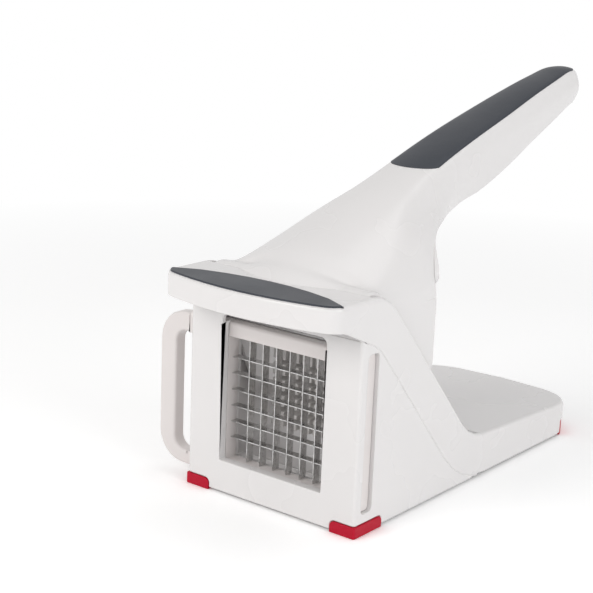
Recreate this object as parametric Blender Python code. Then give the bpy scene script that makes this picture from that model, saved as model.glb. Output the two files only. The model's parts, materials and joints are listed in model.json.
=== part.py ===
"""French fry cutter: a box with a sliding blade cassette, and a lever that pushes a studded plate.

Metres, +Z up, +Y to the rear. The front panel stands in the plane y = 0, x = 0 is the middle of
the box, and z = 0 is the table. The last step moves the whole assembly so that the origin is the
centre of its base. The lever stands in its half-pressed position.
"""

import math

import bmesh
import bpy
from mathutils import Matrix, Vector

# Shared fits
GAP = 0.0003
OVERRUN = 0.004
ARC_STEP_DEG = 15.0
ROUND_SIDES = 16
PLASTIC_WALL = 0.0026

# Body
BODY_WIDTH = 0.1192
BASE_HEIGHT = 0.0014
HOUSING_WALL = 0.0036
COVER_WALL = 0.0030
PANEL_THICKNESS = 0.0058
PANEL_LIP_THICKNESS = 0.0030
PANEL_RAIL = 0.0087
SEAM_KNEE_Y = 0.0150
SEAM_FALL = 0.0065
SEAM_KNEE_RADIUS = 0.0250
SEAM_TOE_INSET = 0.0062
SEAM_TOE_RADIUS = 0.0620
HOUSING_TAIL = 0.0123
WINDOW_INSET = 0.0003
WINDOW_STEP = 0.00125
WINDOW_RAIL = 0.0030
WINDOW_CORNER = 0.0040
FLOOR_STEP = 0.00015
FLOOR_THICKNESS = 0.0022
CHAMBER_END_Y = 0.1117
BACKING_THICKNESS = 0.0025

# Slot for the blade cassette
SLOT_DEPTH = 0.0097
SLOT_BOTTOM = 0.0120
SLOT_CORNER = 0.0025

# Cover, brow bar and rear plate
COVER_RISE = 0.0218
COVER_SHOULDER_Y = 0.0214
COVER_SHOULDER_RADIUS = 0.0300
PLATE_FRONT_TOP = 0.0272
PLATE_KNEE_SETBACK = 0.0050
PLATE_KNEE_RADIUS = 0.0360
PLATE_REAR_TOP = 0.0206
PLATE_REAR_Y = 0.2560
PLATE_BULGE = 0.0050
PLATE_CORNER = 0.0300
BROW_FRONT_Y = 0.0328
BROW_FRONT_RADIUS = 0.1900
BROW_CORNER = 0.0100
BROW_DEPTH = 0.0140
BROW_REAR_Y = 0.0090
BROW_KNEE_RADIUS = 0.0180
TOP_EDGE_RADIUS = 0.0026

# Grip inlay on the brow bar
INLAY_THICKNESS = 0.0016
INLAY_INSET = 0.0011
INLAY_REAR_Y = 0.0036
INLAY_REAR_RADIUS = 0.1470

# Lever
PIVOT_DEPTH = 0.0150
LEVER_REACH = 0.3125
HOOD_WALL = 0.0026
NOSE_RADIUS = 0.0222
NOSE_SIDE_RADIUS = 0.0154
NOSE_CLEARANCE = 0.0007
HUB_RADIUS = 0.0135
HUB_TUCK = 0.0005
SKIRT_THICKNESS = 0.0023
SKIRT_INSET = 0.00005
HINGE_DROP = 0.0179
ARM_EYE_RADIUS = 0.0080
SKIRT_DROP = 0.0360
SKIRT_RISE = 0.0018
AXLE_RADIUS = 0.0030
HINGE_ROD_RADIUS = 0.0020
BOSS_RADIUS = 0.0070
BUSH_WALL = 0.0013
BUSH_FLANGE = 0.0018
BUSH_FLANGE_THICKNESS = 0.0006
CLIP_RADIUS = 0.0042
CLIP_THICKNESS = 0.0008
PAD_THICKNESS = 0.0015
UNDERSIDE_WALL = 0.0024
UNDERSIDE_CROWN = 0.0016

# Blade cassette
GRID_PITCH = 0.0095
BLADES_EACH_WAY = 6
BLADE_THICKNESS = 0.0005
BLADE_SETBACK = 0.0038
BLADE_REAR_INSET = 0.0005
GRID_HALF = 0.0364
CASSETTE_SILL = 0.00675
CASSETTE_HEAD = 0.00895
CASSETTE_CLEARANCE = 0.0004
CASSETTE_CORNER = 0.0022
CASSETTE_INSET = 0.0024
LOOP_REACH = 0.0290
LOOP_BAR = 0.0125
LOOP_CLEARANCE = 0.0006
LOOP_LEG = 0.0088
LOOP_CORNER = 0.0180
LOOP_INNER_CORNER = 0.0070
LOOP_EDGE_RADIUS = 0.0018

# Pusher
PUSHER_MARGIN = 0.0007
PUSHER_PLATE = 0.0024
STUD_LENGTH = 0.0065
STUD_GAP = 0.0019
STUD_TAPER_SHARE = 0.08
HINGE_BACKSET = 0.0140
PUSHER_REST_Y = 0.0438
PUSHER_CLOSED_CLEARANCE = 0.0009
CARRIER_WALL = 0.0022
CARRIER_TUBE_RADIUS = 0.0044
CARRIER_ARM = 0.0030
CARRIER_ARM_SHARE = 0.8
CARRIER_RIB = 0.0018
CARRIER_RIB_DEPTH = 0.0050
GUIDE_BACK = 0.0200
GUIDE_DROP = 0.0120
LINK_THICKNESS = 0.0019
LINK_HALF_WIDTH = 0.0036
LINK_EYE_RADIUS = 0.0055
LINK_PIN_RADIUS = 0.0026
SIDE_CLEARANCE = 0.0004

# Feet, base pan and fasteners
FOOT_HEIGHT = 0.0066
FOOT_PROUD = 0.0006
FOOT_WALL = 0.0018
FOOT_PAD = 0.0060
FOOT_FRONT_LENGTH = 0.0167
FOOT_SIDE_LENGTH = 0.0250
FOOT_END_RADIUS = 0.0028
FOOT_SOLE = 0.0011
REAR_FOOT_HEIGHT = 0.0095
REAR_FOOT_SPAN_DEG = 56.0
PAN_THICKNESS = 0.0018
PAN_RISE = 0.0002
SCREW_RADIUS = 0.0015
SCREW_HEAD_RADIUS = 0.0030
SCREW_HEAD_HEIGHT = 0.0010
SCREW_LENGTH = 0.0090
SCREW_BOSS_RADIUS = 0.0040

# Places as shares of the sizes they follow
HOUSING_SCREW_SHARES = ((0.80, 0.275), (0.80, 0.894))
PLATE_SCREW_SHARES = ((0.60, 0.82),)
FRONT_SPAN_SHARE = 0.78
SKIRT_REAR_SHARE = 0.1978
NOSE_WIDTH_SHARE = 0.713
PUSHER_SCREW_SHARE = 0.62
UNDERSIDE_STATION_SHARES = (0.3200, 0.9300)
HANDLE_SCREW_SHARES = (0.51, 0.63, 0.79)
PAD_STATION_SHARES = (0.4540, 0.4880, 0.8680, 0.8180)
PAD_WIDTH_SHARE = 0.955
NOSE_FALL = 1.5
EYE_START_DEG = 20.0
HUB_START_DEG = -62.0
HUB_END_DEG = -187.0
NOSE_ROWS_DEG = ((160.0, 132.0), (145.0, 118.0), (130.0, 104.0), (116.0, 90.0), (102.0, 76.0))

# Lengthwise lines of the lever, through the same stations from the nose to the handle's end. Each
# point is its place along the reach from the pivot, its half width and its height. Places and
# heights are shares of the reach, and half widths are shares of the hood's half width.
CREST_SHARES = (
    (0.0275, 0, 0.0912),
    (0.0768, 0, 0.1104),
    (0.1184, 0, 0.1261),
    (0.1600, 0, 0.1424),
    (0.1920, 0, 0.1549),
    (0.2176, 0, 0.1645),
    (0.2400, 0, 0.1728),
    (0.2624, 0, 0.1805),
    (0.2912, 0, 0.1904),
    (0.3296, 0, 0.2048),
    (0.3744, 0, 0.2205),
    (0.4288, 0, 0.2384),
    (0.5120, 0, 0.2637),
    (0.6208, 0, 0.2963),
    (0.7328, 0, 0.3280),
    (0.8384, 0, 0.3539),
    (0.9088, 0, 0.3680),
    (0.9376, 0, 0.3661),
    (0.9600, 0, 0.3558),
    (0.9738, 0, 0.3411),
    (0.9792, 0, 0.3251),
)
FOLD_SHARES = (
    (0.0272, 0.644, 0.0614),
    (0.0752, 0.623, 0.0832),
    (0.1136, 0.600, 0.0998),
    (0.1536, 0.555, 0.1203),
    (0.1856, 0.495, 0.1376),
    (0.2096, 0.450, 0.1491),
    (0.2320, 0.418, 0.1587),
    (0.2560, 0.394, 0.1683),
    (0.2864, 0.373, 0.1802),
    (0.3248, 0.351, 0.1958),
    (0.3680, 0.339, 0.2115),
    (0.4256, 0.331, 0.2317),
    (0.5104, 0.321, 0.2586),
    (0.6208, 0.298, 0.2899),
    (0.7328, 0.259, 0.3216),
    (0.8384, 0.221, 0.3485),
    (0.9088, 0.182, 0.3629),
    (0.9360, 0.154, 0.3603),
    (0.9568, 0.109, 0.3514),
    (0.9715, 0.056, 0.3386),
    (0.9792, 0.009, 0.3245),
)
SHOULDER_SHARES = (
    (0.0288, 0.891, 0.0480),
    (0.0720, 0.871, 0.0595),
    (0.1104, 0.837, 0.0733),
    (0.1504, 0.792, 0.0877),
    (0.1808, 0.735, 0.1024),
    (0.2032, 0.679, 0.1126),
    (0.2256, 0.621, 0.1210),
    (0.2512, 0.561, 0.1306),
    (0.2832, 0.492, 0.1427),
    (0.3232, 0.426, 0.1568),
    (0.3712, 0.379, 0.1706),
    (0.4288, 0.355, 0.1888),
    (0.5120, 0.338, 0.2131),
    (0.6224, 0.323, 0.2438),
    (0.7344, 0.293, 0.2784),
    (0.8384, 0.259, 0.3104),
    (0.9088, 0.223, 0.3290),
    (0.9360, 0.199, 0.3277),
    (0.9584, 0.154, 0.3258),
    (0.9728, 0.083, 0.3245),
    (0.9792, 0.013, 0.3219),
)
SIDE_SHARES = (
    (0.0288, 1.000, 0.0352),
    (0.0720, 0.998, 0.0272),
    (0.1104, 0.994, 0.0288),
    (0.1504, 0.983, 0.0384),
    (0.1776, 0.944, 0.0592),
    (0.1952, 0.887, 0.0768),
    (0.2138, 0.799, 0.0947),
    (0.2400, 0.705, 0.1107),
    (0.2768, 0.598, 0.1254),
    (0.3232, 0.495, 0.1370),
    (0.3744, 0.411, 0.1482),
    (0.4336, 0.356, 0.1619),
    (0.5184, 0.323, 0.1805),
    (0.6240, 0.300, 0.2112),
    (0.7360, 0.272, 0.2512),
    (0.8400, 0.240, 0.2864),
    (0.9088, 0.210, 0.3066),
    (0.9360, 0.186, 0.3082),
    (0.9584, 0.143, 0.3107),
    (0.9722, 0.077, 0.3155),
    (0.9792, 0.013, 0.3187),
)
RIM_SHARES = (
    (0.0240, 1.000, -0.0016),
    (0.0704, 1.000, -0.0128),
    (0.1088, 1.000, -0.0128),
    (0.1536, 1.000, -0.0128),
    (0.1939, 0.998, -0.0128),
    (0.1974, 0.985, 0.0176),
    (0.2003, 0.942, 0.0496),
    (0.2256, 0.837, 0.0870),
    (0.2656, 0.694, 0.1053),
    (0.3216, 0.552, 0.1152),
    (0.3776, 0.430, 0.1235),
    (0.4384, 0.345, 0.1331),
    (0.5248, 0.287, 0.1462),
    (0.6272, 0.263, 0.1792),
    (0.7392, 0.235, 0.2240),
    (0.8416, 0.206, 0.2634),
    (0.9088, 0.171, 0.2867),
    (0.9344, 0.144, 0.2922),
    (0.9568, 0.109, 0.2995),
    (0.9702, 0.058, 0.3091),
    (0.9792, 0.009, 0.3168),
)
STATION_STEPS = (2, 1, 1, 1, 1, 1, 1, 1, 1, 1, 1, 2, 1, 1, 1, 1, 1, 1, 1, 1)
TOP_STEPS = 3
SIDE_STEPS = 2

# Worked out from the sizes above
HALF = BODY_WIDTH / 2
HOUSING_INNER = HALF - HOUSING_WALL
COVER_INNER = HALF - COVER_WALL
SLOT_REAR_Y = PANEL_THICKNESS + SLOT_DEPTH
CHAMBER_FRONT_Y = SLOT_REAR_Y + BACKING_THICKNESS
GRID_LOW = SLOT_BOTTOM + CASSETTE_SILL
GRID_CENTRE_HEIGHT = GRID_LOW + GRID_HALF
SLOT_TOP = GRID_CENTRE_HEIGHT + GRID_HALF + CASSETTE_HEAD
CHAMBER_FLOOR = GRID_LOW - FLOOR_STEP
SEAM_FRONT_HEIGHT = SLOT_TOP + PANEL_RAIL
SEAM_KNEE_HEIGHT = SEAM_FRONT_HEIGHT - SEAM_FALL
SEAM_TOE_Y = CHAMBER_END_Y - SEAM_TOE_INSET
HOUSING_TAIL_Y = CHAMBER_END_Y + HOUSING_TAIL
WINDOW_HALF = GRID_HALF - WINDOW_INSET
WINDOW_SILL = GRID_LOW + WINDOW_STEP
WINDOW_TOP = SEAM_FRONT_HEIGHT - WINDOW_RAIL
COVER_TOP = SEAM_FRONT_HEIGHT + COVER_RISE
BROW_UNDERSIDE = COVER_TOP - BROW_DEPTH
PLATE_KNEE_Y = CHAMBER_END_Y + PLATE_KNEE_SETBACK
BLADE_FRONT_Y = PANEL_THICKNESS + BLADE_SETBACK
BLADE_DEPTH = SLOT_DEPTH - BLADE_SETBACK - BLADE_REAR_INSET
LOOP_BOTTOM = FOOT_HEIGHT + LOOP_CLEARANCE
PUSHER_HALF = GRID_HALF - PUSHER_MARGIN
PUSHER_CLOSED_Y = SLOT_REAR_Y - GAP + PUSHER_CLOSED_CLEARANCE
STUDS_EACH_WAY = BLADES_EACH_WAY + 1
PIVOT_Y = PANEL_LIP_THICKNESS + HUB_RADIUS - HUB_TUCK
PIVOT_HEIGHT = COVER_TOP - PIVOT_DEPTH
PIVOT = Vector((0, PIVOT_Y, PIVOT_HEIGHT))
CLOSED_ARM_RUN = PUSHER_CLOSED_Y + HINGE_BACKSET - PIVOT_Y
CLOSED_ARM_DROP = PIVOT_HEIGHT - GRID_CENTRE_HEIGHT + HINGE_DROP
ARM_LENGTH = math.hypot(CLOSED_ARM_RUN, CLOSED_ARM_DROP)
REST_ANGLE = math.asin((PUSHER_REST_Y + HINGE_BACKSET - PIVOT_Y) / ARM_LENGTH)
CLOSED_ANGLE = math.atan2(CLOSED_ARM_RUN, CLOSED_ARM_DROP)
ARM = Vector((0, math.sin(REST_ANGLE), -math.cos(REST_ANGLE))) * ARM_LENGTH
HINGE = PIVOT + ARM
HINGE_RISE = ARM.z + CLOSED_ARM_DROP
GUIDE = Vector((0, GUIDE_BACK, -GUIDE_DROP))
LINK_PIVOT = PIVOT + GUIDE
LINK_INNER = HOUSING_INNER - SIDE_CLEARANCE - LINK_THICKNESS
HOOD_HALF_WIDTH = LINK_INNER - SIDE_CLEARANCE
NOSE_HALF_WIDTH = NOSE_WIDTH_SHARE * HOOD_HALF_WIDTH
SKIRT_TOP = PIVOT_HEIGHT + SKIRT_RISE
SKIRT_REAR_BOTTOM = PIVOT_HEIGHT - SKIRT_DROP
SKIRT_REAR_Y = PIVOT_Y + SKIRT_REAR_SHARE * LEVER_REACH
CARRIER_HALF = HOOD_HALF_WIDTH - HOOD_WALL - BUSH_FLANGE_THICKNESS - SIDE_CLEARANCE
PUSHER_MIDDLE = GRID_CENTRE_HEIGHT + HINGE_RISE



def set_up_scene():
    for item in list(bpy.data.objects):
        bpy.data.objects.remove(item, do_unlink=True)


def material(name, colour, roughness, metallic=0.0):
    made = bpy.data.materials.get(name) or bpy.data.materials.new(name)
    made.use_nodes = True
    shader = made.node_tree.nodes["Principled BSDF"]
    shader.inputs["Base Color"].default_value = (*colour, 1)
    shader.inputs["Roughness"].default_value = roughness
    shader.inputs["Metallic"].default_value = metallic
    return made


def white_plastic(name):
    return material(name, (0.80, 0.79, 0.79), 0.22)


def dark_rubber(name):
    return material(name, (0.07, 0.08, 0.10), 0.45)


def red_rubber(name):
    return material(name, (0.56, 0.01, 0.06), 0.40)


def steel(name):
    return material(name, (0.62, 0.62, 0.64), 0.25, 1.0)


def empty(name, place, parent=None):
    """An axis or group marker at a place given in the design frame."""
    made = bpy.data.objects.new(name, None)
    bpy.context.scene.collection.objects.link(made)
    made["place"] = tuple(place)
    made.parent = parent
    made.location = Vector(place) - (Vector(parent["place"]) if parent else Vector())
    return made


def add_object(name, mesh, carrier):
    """An object whose mesh is drawn in the design frame and that moves with its carrier."""
    made = bpy.data.objects.new(name, mesh)
    bpy.context.scene.collection.objects.link(made)
    made.parent = carrier
    made.location = -Vector(carrier["place"])
    return made


def finish_mesh(name, shape):
    bmesh.ops.recalc_face_normals(shape, faces=shape.faces)
    mesh = bpy.data.meshes.new(name)
    shape.to_mesh(mesh)
    shape.free()
    return mesh


def smooth(item, angle=35.0):
    item.data.shade_smooth()
    item.data.set_sharp_from_angle(angle=math.radians(angle))
    return item


def dress(item, finish):
    item.data.materials.clear()
    item.data.materials.append(finish)
    return smooth(item)


def filleted(corners):
    """Turns corners (a, b, radius) into outline points, with each radius drawn as an arc."""
    points = []
    for index, (a, b, radius) in enumerate(corners):
        here = Vector((a, b))
        if not radius:
            points.append((a, b))
            continue
        before = Vector(corners[index - 1][:2]) - here
        after = Vector(corners[(index + 1) % len(corners)][:2]) - here
        turn = math.pi - before.angle(after)
        reach = radius * math.tan(turn / 2)
        start = here + before.normalized() * reach
        middle = here + (before.normalized() + after.normalized()).normalized() * (
            radius / math.cos(turn / 2)
        )
        steps = max(1, math.ceil(math.degrees(turn) / ARC_STEP_DEG))
        side = 1 if before.cross(after) < 0 else -1
        for step in range(steps + 1):
            spoke = (start - middle).copy()
            spoke.rotate(Matrix.Rotation(side * turn * step / steps, 2))
            points.append(tuple(middle + spoke))
    return points


def offset_corners(corners, gap):
    """Moves an open run of corners to its right by the gap, keeping the arcs concentric."""
    lines = []
    for first, second in zip(corners, corners[1:]):
        along = (Vector(second[:2]) - Vector(first[:2])).normalized()
        away = Vector((along.y, -along.x)) * gap
        lines.append((Vector(first[:2]) + away, along))
    moved = [(*lines[0][0], 0)]
    for (start, along), (other, other_along), corner in zip(lines, lines[1:], corners[1:]):
        turn = along.cross(other_along)
        reach = (other - start).cross(other_along) / turn
        radius = corner[2] + gap * (1 if turn > 0 else -1)
        moved.append((*(start + along * reach), radius))
    end = Vector(corners[-1][:2]) + Vector((lines[-1][1].y, -lines[-1][1].x)) * gap
    moved.append((*end, 0))
    return moved


def prism(name, outline, axis, low, high, carrier):
    """A closed outline pushed along X, Y or Z. Outline points are (y, z), (x, z) or (x, y)."""
    spread = {
        "X": lambda a, b, along: (along, a, b),
        "Y": lambda a, b, along: (a, along, b),
        "Z": lambda a, b, along: (a, b, along),
    }[axis]
    shape = bmesh.new()
    ends = [[shape.verts.new(spread(a, b, along)) for a, b in outline] for along in (low, high)]
    for first, second in zip(range(len(outline)), [*range(1, len(outline)), 0]):
        shape.faces.new((ends[0][first], ends[0][second], ends[1][second], ends[1][first]))
    shape.faces.new(ends[0])
    shape.faces.new(ends[1])
    return add_object(name, finish_mesh(name, shape), carrier)


def block(name, low, high, carrier):
    corners = ((low[0], low[1]), (high[0], low[1]), (high[0], high[1]), (low[0], high[1]))
    return prism(name, corners, "Z", low[2], high[2], carrier)


def rod(name, start, end, radius, carrier, sides=ROUND_SIDES):
    """A round bar between two points."""
    start = Vector(start)
    end = Vector(end)
    run = end - start
    turn = Vector((0, 0, 1)).rotation_difference(run.normalized()).to_matrix().to_4x4()
    shape = bmesh.new()
    bmesh.ops.create_cone(
        shape,
        cap_ends=True,
        segments=sides,
        radius1=radius,
        radius2=radius,
        depth=run.length,
        matrix=Matrix.Translation((start + end) / 2) @ turn,
    )
    return add_object(name, finish_mesh(name, shape), carrier)


def helper(item):
    item.hide_render = True
    item.display_type = "WIRE"
    return item


def boolean(target, other, operation):
    helper(other)
    modifier = target.modifiers.new(other.name, "BOOLEAN")
    modifier.operation = operation
    modifier.object = other
    modifier.solver = "EXACT"


def cut(target, *others):
    for other in others:
        boolean(target, other, "DIFFERENCE")


def join(target, *others):
    for other in others:
        boolean(target, other, "UNION")


def baked(item):
    """Applies an object's modifiers and gives its mesh for further work."""
    graph = bpy.context.evaluated_depsgraph_get()
    mesh = bpy.data.meshes.new_from_object(item.evaluated_get(graph))
    item.modifiers.clear()
    item.data = mesh
    return mesh


def bevel_edges(item, chosen, radius, segments=2):
    shape = bmesh.new()
    shape.from_mesh(item.data)
    bmesh.ops.dissolve_limit(
        shape, angle_limit=math.radians(1.0), verts=shape.verts, edges=shape.edges
    )
    edges = [edge for edge in shape.edges if len(edge.link_faces) == 2 and chosen(edge)]
    bmesh.ops.bevel(
        shape,
        geom=edges,
        offset=radius,
        offset_type="OFFSET",
        segments=segments,
        profile=0.5,
        affect="EDGES",
        clamp_overlap=True,
    )
    bmesh.ops.recalc_face_normals(shape, faces=shape.faces)
    shape.to_mesh(item.data)
    shape.free()


def middle_of(edge):
    return (edge.verts[0].co + edge.verts[1].co) / 2


def seam_corners():
    """The line where the housing ends and the cover begins, from the front to the table."""
    return (
        (0, SEAM_FRONT_HEIGHT, 0),
        (SEAM_KNEE_Y, SEAM_KNEE_HEIGHT, SEAM_KNEE_RADIUS),
        (SEAM_TOE_Y, BASE_HEIGHT, SEAM_TOE_RADIUS),
        (PLATE_REAR_Y, BASE_HEIGHT, 0),
    )


def plan_outline(inset):
    """The body seen from above: bowed front, straight sides, rounded rear."""
    half = HALF - inset
    front_radius = BROW_FRONT_RADIUS - inset

    def front_y(x):
        rise = front_radius - math.sqrt(front_radius**2 - x**2)
        return inset - BROW_FRONT_Y + rise

    rear = PLATE_REAR_Y - inset
    points = [(half, front_y(half), BROW_CORNER - inset / 2)]
    points.append((half, rear - PLATE_BULGE, PLATE_CORNER - inset))
    points.append((0, rear, 0))
    points.append((-half, rear - PLATE_BULGE, PLATE_CORNER - inset))
    points.append((-half, front_y(half), BROW_CORNER - inset / 2))
    steps = 8
    for step in range(steps + 1):
        x = half * FRONT_SPAN_SHARE * (2 * step / steps - 1)
        points.append((x, front_y(x), 0))
    return filleted(points)


def nose_radius(x):
    share = min(1.0, abs(x) / NOSE_HALF_WIDTH)
    return NOSE_SIDE_RADIUS + (NOSE_RADIUS - NOSE_SIDE_RADIUS) * (1 - share**2) ** NOSE_FALL


def nose_barrel(name, clearance, carrier):
    """The space that the lever's nose sweeps about the pivot, as a barrel."""
    steps = 16
    shape = bmesh.new()
    rings = []
    for step in range(steps + 1):
        x = COVER_INNER * (2 * step / steps - 1)
        radius = nose_radius(x) + clearance
        ring = []
        sides = ROUND_SIDES * 3
        for side in range(sides):
            angle = math.tau * side / sides
            ring.append(
                shape.verts.new(
                    (x, PIVOT_Y + radius * math.cos(angle), PIVOT_HEIGHT + radius * math.sin(angle))
                )
            )
        rings.append(ring)
    for first, second in zip(rings, rings[1:]):
        for side in range(len(first)):
            after = (side + 1) % len(first)
            shape.faces.new((first[side], first[after], second[after], second[side]))
    shape.faces.new(rings[0])
    shape.faces.new(rings[-1])
    return add_object(name, finish_mesh(name, shape), carrier)


def pan_screw_places():
    places = []
    for shares, length in (
        (HOUSING_SCREW_SHARES, CHAMBER_END_Y),
        (PLATE_SCREW_SHARES, PLATE_REAR_Y),
    ):
        for across, along in shares:
            for side in (-1, 1):
                places.append((side * across * HOUSING_INNER, along * length))
    return places


def make_lower_housing(carrier):
    seam = seam_corners()
    toe = (*seam[2][:2], SEAM_TOE_RADIUS)
    outline = filleted(
        [
            (0, BASE_HEIGHT, 0),
            seam[0],
            seam[1],
            toe,
            (PLATE_REAR_Y, BASE_HEIGHT, 0),
        ]
    )
    outline = [point for point in outline if point[0] <= HOUSING_TAIL_Y]
    outline.append((outline[-1][0], BASE_HEIGHT))
    housing = prism("lower_housing", outline, "X", -HALF, HALF, carrier)

    inner = HOUSING_INNER
    far = PLATE_REAR_Y
    high = COVER_TOP
    floor_under = CHAMBER_FLOOR - FLOOR_THICKNESS
    slot_under = SLOT_BOTTOM - FLOOR_THICKNESS
    cut(
        housing,
        block(
            "chamber_cut",
            (-inner, CHAMBER_FRONT_Y, CHAMBER_FLOOR),
            (inner, far, high),
            carrier,
        ),
        block(
            "hood_room_cut",
            (-inner, PANEL_LIP_THICKNESS, SLOT_TOP),
            (inner, far, high),
            carrier,
        ),
        block(
            "front_hollow_cut",
            (-inner, PANEL_LIP_THICKNESS, -OVERRUN),
            (inner, far, slot_under),
            carrier,
        ),
        block(
            "floor_hollow_cut",
            (-inner, CHAMBER_FRONT_Y, -OVERRUN),
            (inner, far, floor_under),
            carrier,
        ),
    )
    slot = filleted(
        [
            (PANEL_THICKNESS, SLOT_BOTTOM, SLOT_CORNER),
            (SLOT_REAR_Y, SLOT_BOTTOM, SLOT_CORNER),
            (SLOT_REAR_Y, SLOT_TOP, SLOT_CORNER),
            (PANEL_THICKNESS, SLOT_TOP, SLOT_CORNER),
        ]
    )
    cut(housing, prism("slot_cut", slot, "X", -HALF - OVERRUN, HALF + OVERRUN, carrier))
    window = filleted(
        [
            (-WINDOW_HALF, WINDOW_SILL, 0),
            (WINDOW_HALF, WINDOW_SILL, 0),
            (WINDOW_HALF, WINDOW_TOP, WINDOW_CORNER),
            (-WINDOW_HALF, WINDOW_TOP, WINDOW_CORNER),
        ]
    )
    middle_of_slot = PANEL_THICKNESS + SLOT_DEPTH / 2
    cut(housing, prism("window_cut", window, "Y", -OVERRUN, middle_of_slot, carrier))
    grid_low = GRID_CENTRE_HEIGHT - GRID_HALF - GAP
    grid_high = GRID_CENTRE_HEIGHT + GRID_HALF + GAP
    cut(
        housing,
        block(
            "backing_window_cut",
            (-GRID_HALF - GAP, middle_of_slot, grid_low),
            (GRID_HALF + GAP, CHAMBER_FRONT_Y + OVERRUN, grid_high),
            carrier,
        ),
    )
    join(
        housing,
        block(
            "chamber_floor",
            (-inner - GAP, SLOT_REAR_Y + GAP, floor_under),
            (inner + GAP, CHAMBER_END_Y, CHAMBER_FLOOR - GAP / 10),
            carrier,
        ),
        block(
            "chamber_end",
            (-inner - GAP, CHAMBER_END_Y - PLASTIC_WALL, pan_top() + GAP),
            (inner + GAP, CHAMBER_END_Y - GAP / 10, CHAMBER_FLOOR - FLOOR_THICKNESS / 2),
            carrier,
        ),
    )
    for number, (x, y) in enumerate(pan_screw_places()):
        if y < CHAMBER_END_Y:
            roof = slot_under if y < CHAMBER_FRONT_Y else floor_under
            low = pan_top() + GAP
            boss = rod(
                f"housing_boss_{number}",
                (x, y, low),
                (x, y, roof + FLOOR_THICKNESS / 2),
                SCREW_BOSS_RADIUS,
                carrier,
            )
            join(housing, boss)
            cut(
                housing,
                rod(
                    f"housing_boss_hole_{number}",
                    (x, y, low - OVERRUN),
                    (x, y, pan_top() - PAN_THICKNESS + SCREW_LENGTH),
                    SCREW_RADIUS + GAP,
                    carrier,
                ),
            )
    for side in (-1, 1):
        cut(housing, front_foot_shell(f"foot_recess_{side}", side, GAP, carrier))
    return dress(housing, white_plastic("housing white"))


def pan_top():
    return BASE_HEIGHT + PAN_RISE + PAN_THICKNESS


def front_foot_shell(name, side, grow, carrier):
    """The upright part of a front foot, grown by a gap when it cuts its recess."""
    outer = HALF + FOOT_PROUD + grow
    front = -FOOT_PROUD - grow
    wall = FOOT_WALL + 2 * grow
    across = HALF + FOOT_PROUD - FOOT_FRONT_LENGTH - grow
    back = FOOT_SIDE_LENGTH + grow
    corner = 2 * FOOT_PROUD
    outline = filleted(
        [
            (across, front, 0),
            (outer, front, corner),
            (outer, back, 0),
            (outer - wall, back, 0),
            (outer - wall, front + wall, 0),
            (across, front + wall, 0),
        ]
    )
    outline = [(side * x, y) for x, y in outline]
    shell = prism(name, outline, "Z", -grow, FOOT_HEIGHT + grow, carrier)

    def at_end_top(edge):
        centre = middle_of(edge)
        ends = min(abs(abs(centre.x) - across), abs(centre.y - back))
        return centre.z > FOOT_HEIGHT - GAP and ends < GAP / 2 and edge.calc_length() > wall / 2

    bevel_edges(shell, at_end_top, FOOT_END_RADIUS, 3)
    return shell


def make_front_foot(name, side, carrier):
    foot = front_foot_shell(name, side, 0, carrier)
    outer = HALF + FOOT_PROUD
    across = outer - FOOT_FRONT_LENGTH
    inner = outer - FOOT_WALL
    reach = FOOT_WALL + FOOT_PAD
    outline = (
        (across, FOOT_WALL / 3),
        (inner + FOOT_WALL / 3, FOOT_WALL / 3),
        (inner + FOOT_WALL / 3, FOOT_SIDE_LENGTH),
        (outer - reach, FOOT_SIDE_LENGTH),
        (outer - reach, reach),
        (across, reach),
    )
    sole = [(side * x, y) for x, y in outline]
    join(foot, prism(f"{name}_sole", sole, "Z", 0, FOOT_SOLE, carrier))
    return dress(foot, red_rubber("foot red"))


def rear_foot_outline(side, outer, inner):
    """A band that follows the rounded rear corner, between two distances outside the wall."""
    centre = Vector((HALF - PLATE_CORNER, PLATE_REAR_Y - PLATE_BULGE - PLATE_CORNER))
    steps = 6
    start = (90.0 - REAR_FOOT_SPAN_DEG) / 2
    band = []
    for radius, order in ((PLATE_CORNER + outer, 1), (PLATE_CORNER + inner, -1)):
        arc = []
        for step in range(steps + 1):
            angle = math.radians(start + REAR_FOOT_SPAN_DEG * step / steps)
            arc.append(centre + Vector((math.cos(angle), math.sin(angle))) * radius)
        band.extend(arc[::order])
    return [(side * point.x, point.y) for point in band]


def make_rear_foot(name, side, carrier):
    outer = FOOT_PROUD
    inner = FOOT_PROUD - FOOT_WALL
    foot = prism(name, rear_foot_outline(side, outer, inner), "Z", 0, REAR_FOOT_HEIGHT, carrier)
    sole = rear_foot_outline(side, -FOOT_PROUD, inner - FOOT_PAD)
    join(foot, prism(f"{name}_sole", sole, "Z", 0, FOOT_SOLE, carrier))
    return dress(foot, red_rubber("foot red"))


def cover_side_outline():
    front = -BROW_FRONT_Y - OVERRUN
    rear = PLATE_REAR_Y + OVERRUN
    seam = offset_corners(seam_corners()[::-1], GAP)
    slope = (SEAM_FRONT_HEIGHT - SEAM_KNEE_HEIGHT) / SEAM_KNEE_Y
    brow_knee_y = seam[2][0] - (BROW_UNDERSIDE - seam[2][1]) / slope
    run = [
        (front, BROW_UNDERSIDE, 0),
        (front, COVER_TOP, 0),
        (COVER_SHOULDER_Y, COVER_TOP, COVER_SHOULDER_RADIUS),
        (PLATE_KNEE_Y, PLATE_FRONT_TOP, PLATE_KNEE_RADIUS),
        (rear, PLATE_REAR_TOP, 0),
        (rear, seam[0][1], 0),
        seam[1],
        seam[2],
        (brow_knee_y, BROW_UNDERSIDE, BROW_KNEE_RADIUS),
    ]
    return filleted(run)


def plate_top(y):
    slope = (PLATE_REAR_TOP - PLATE_FRONT_TOP) / (PLATE_REAR_Y + OVERRUN - PLATE_KNEE_Y)
    return PLATE_FRONT_TOP + slope * (y - PLATE_KNEE_Y)


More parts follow.
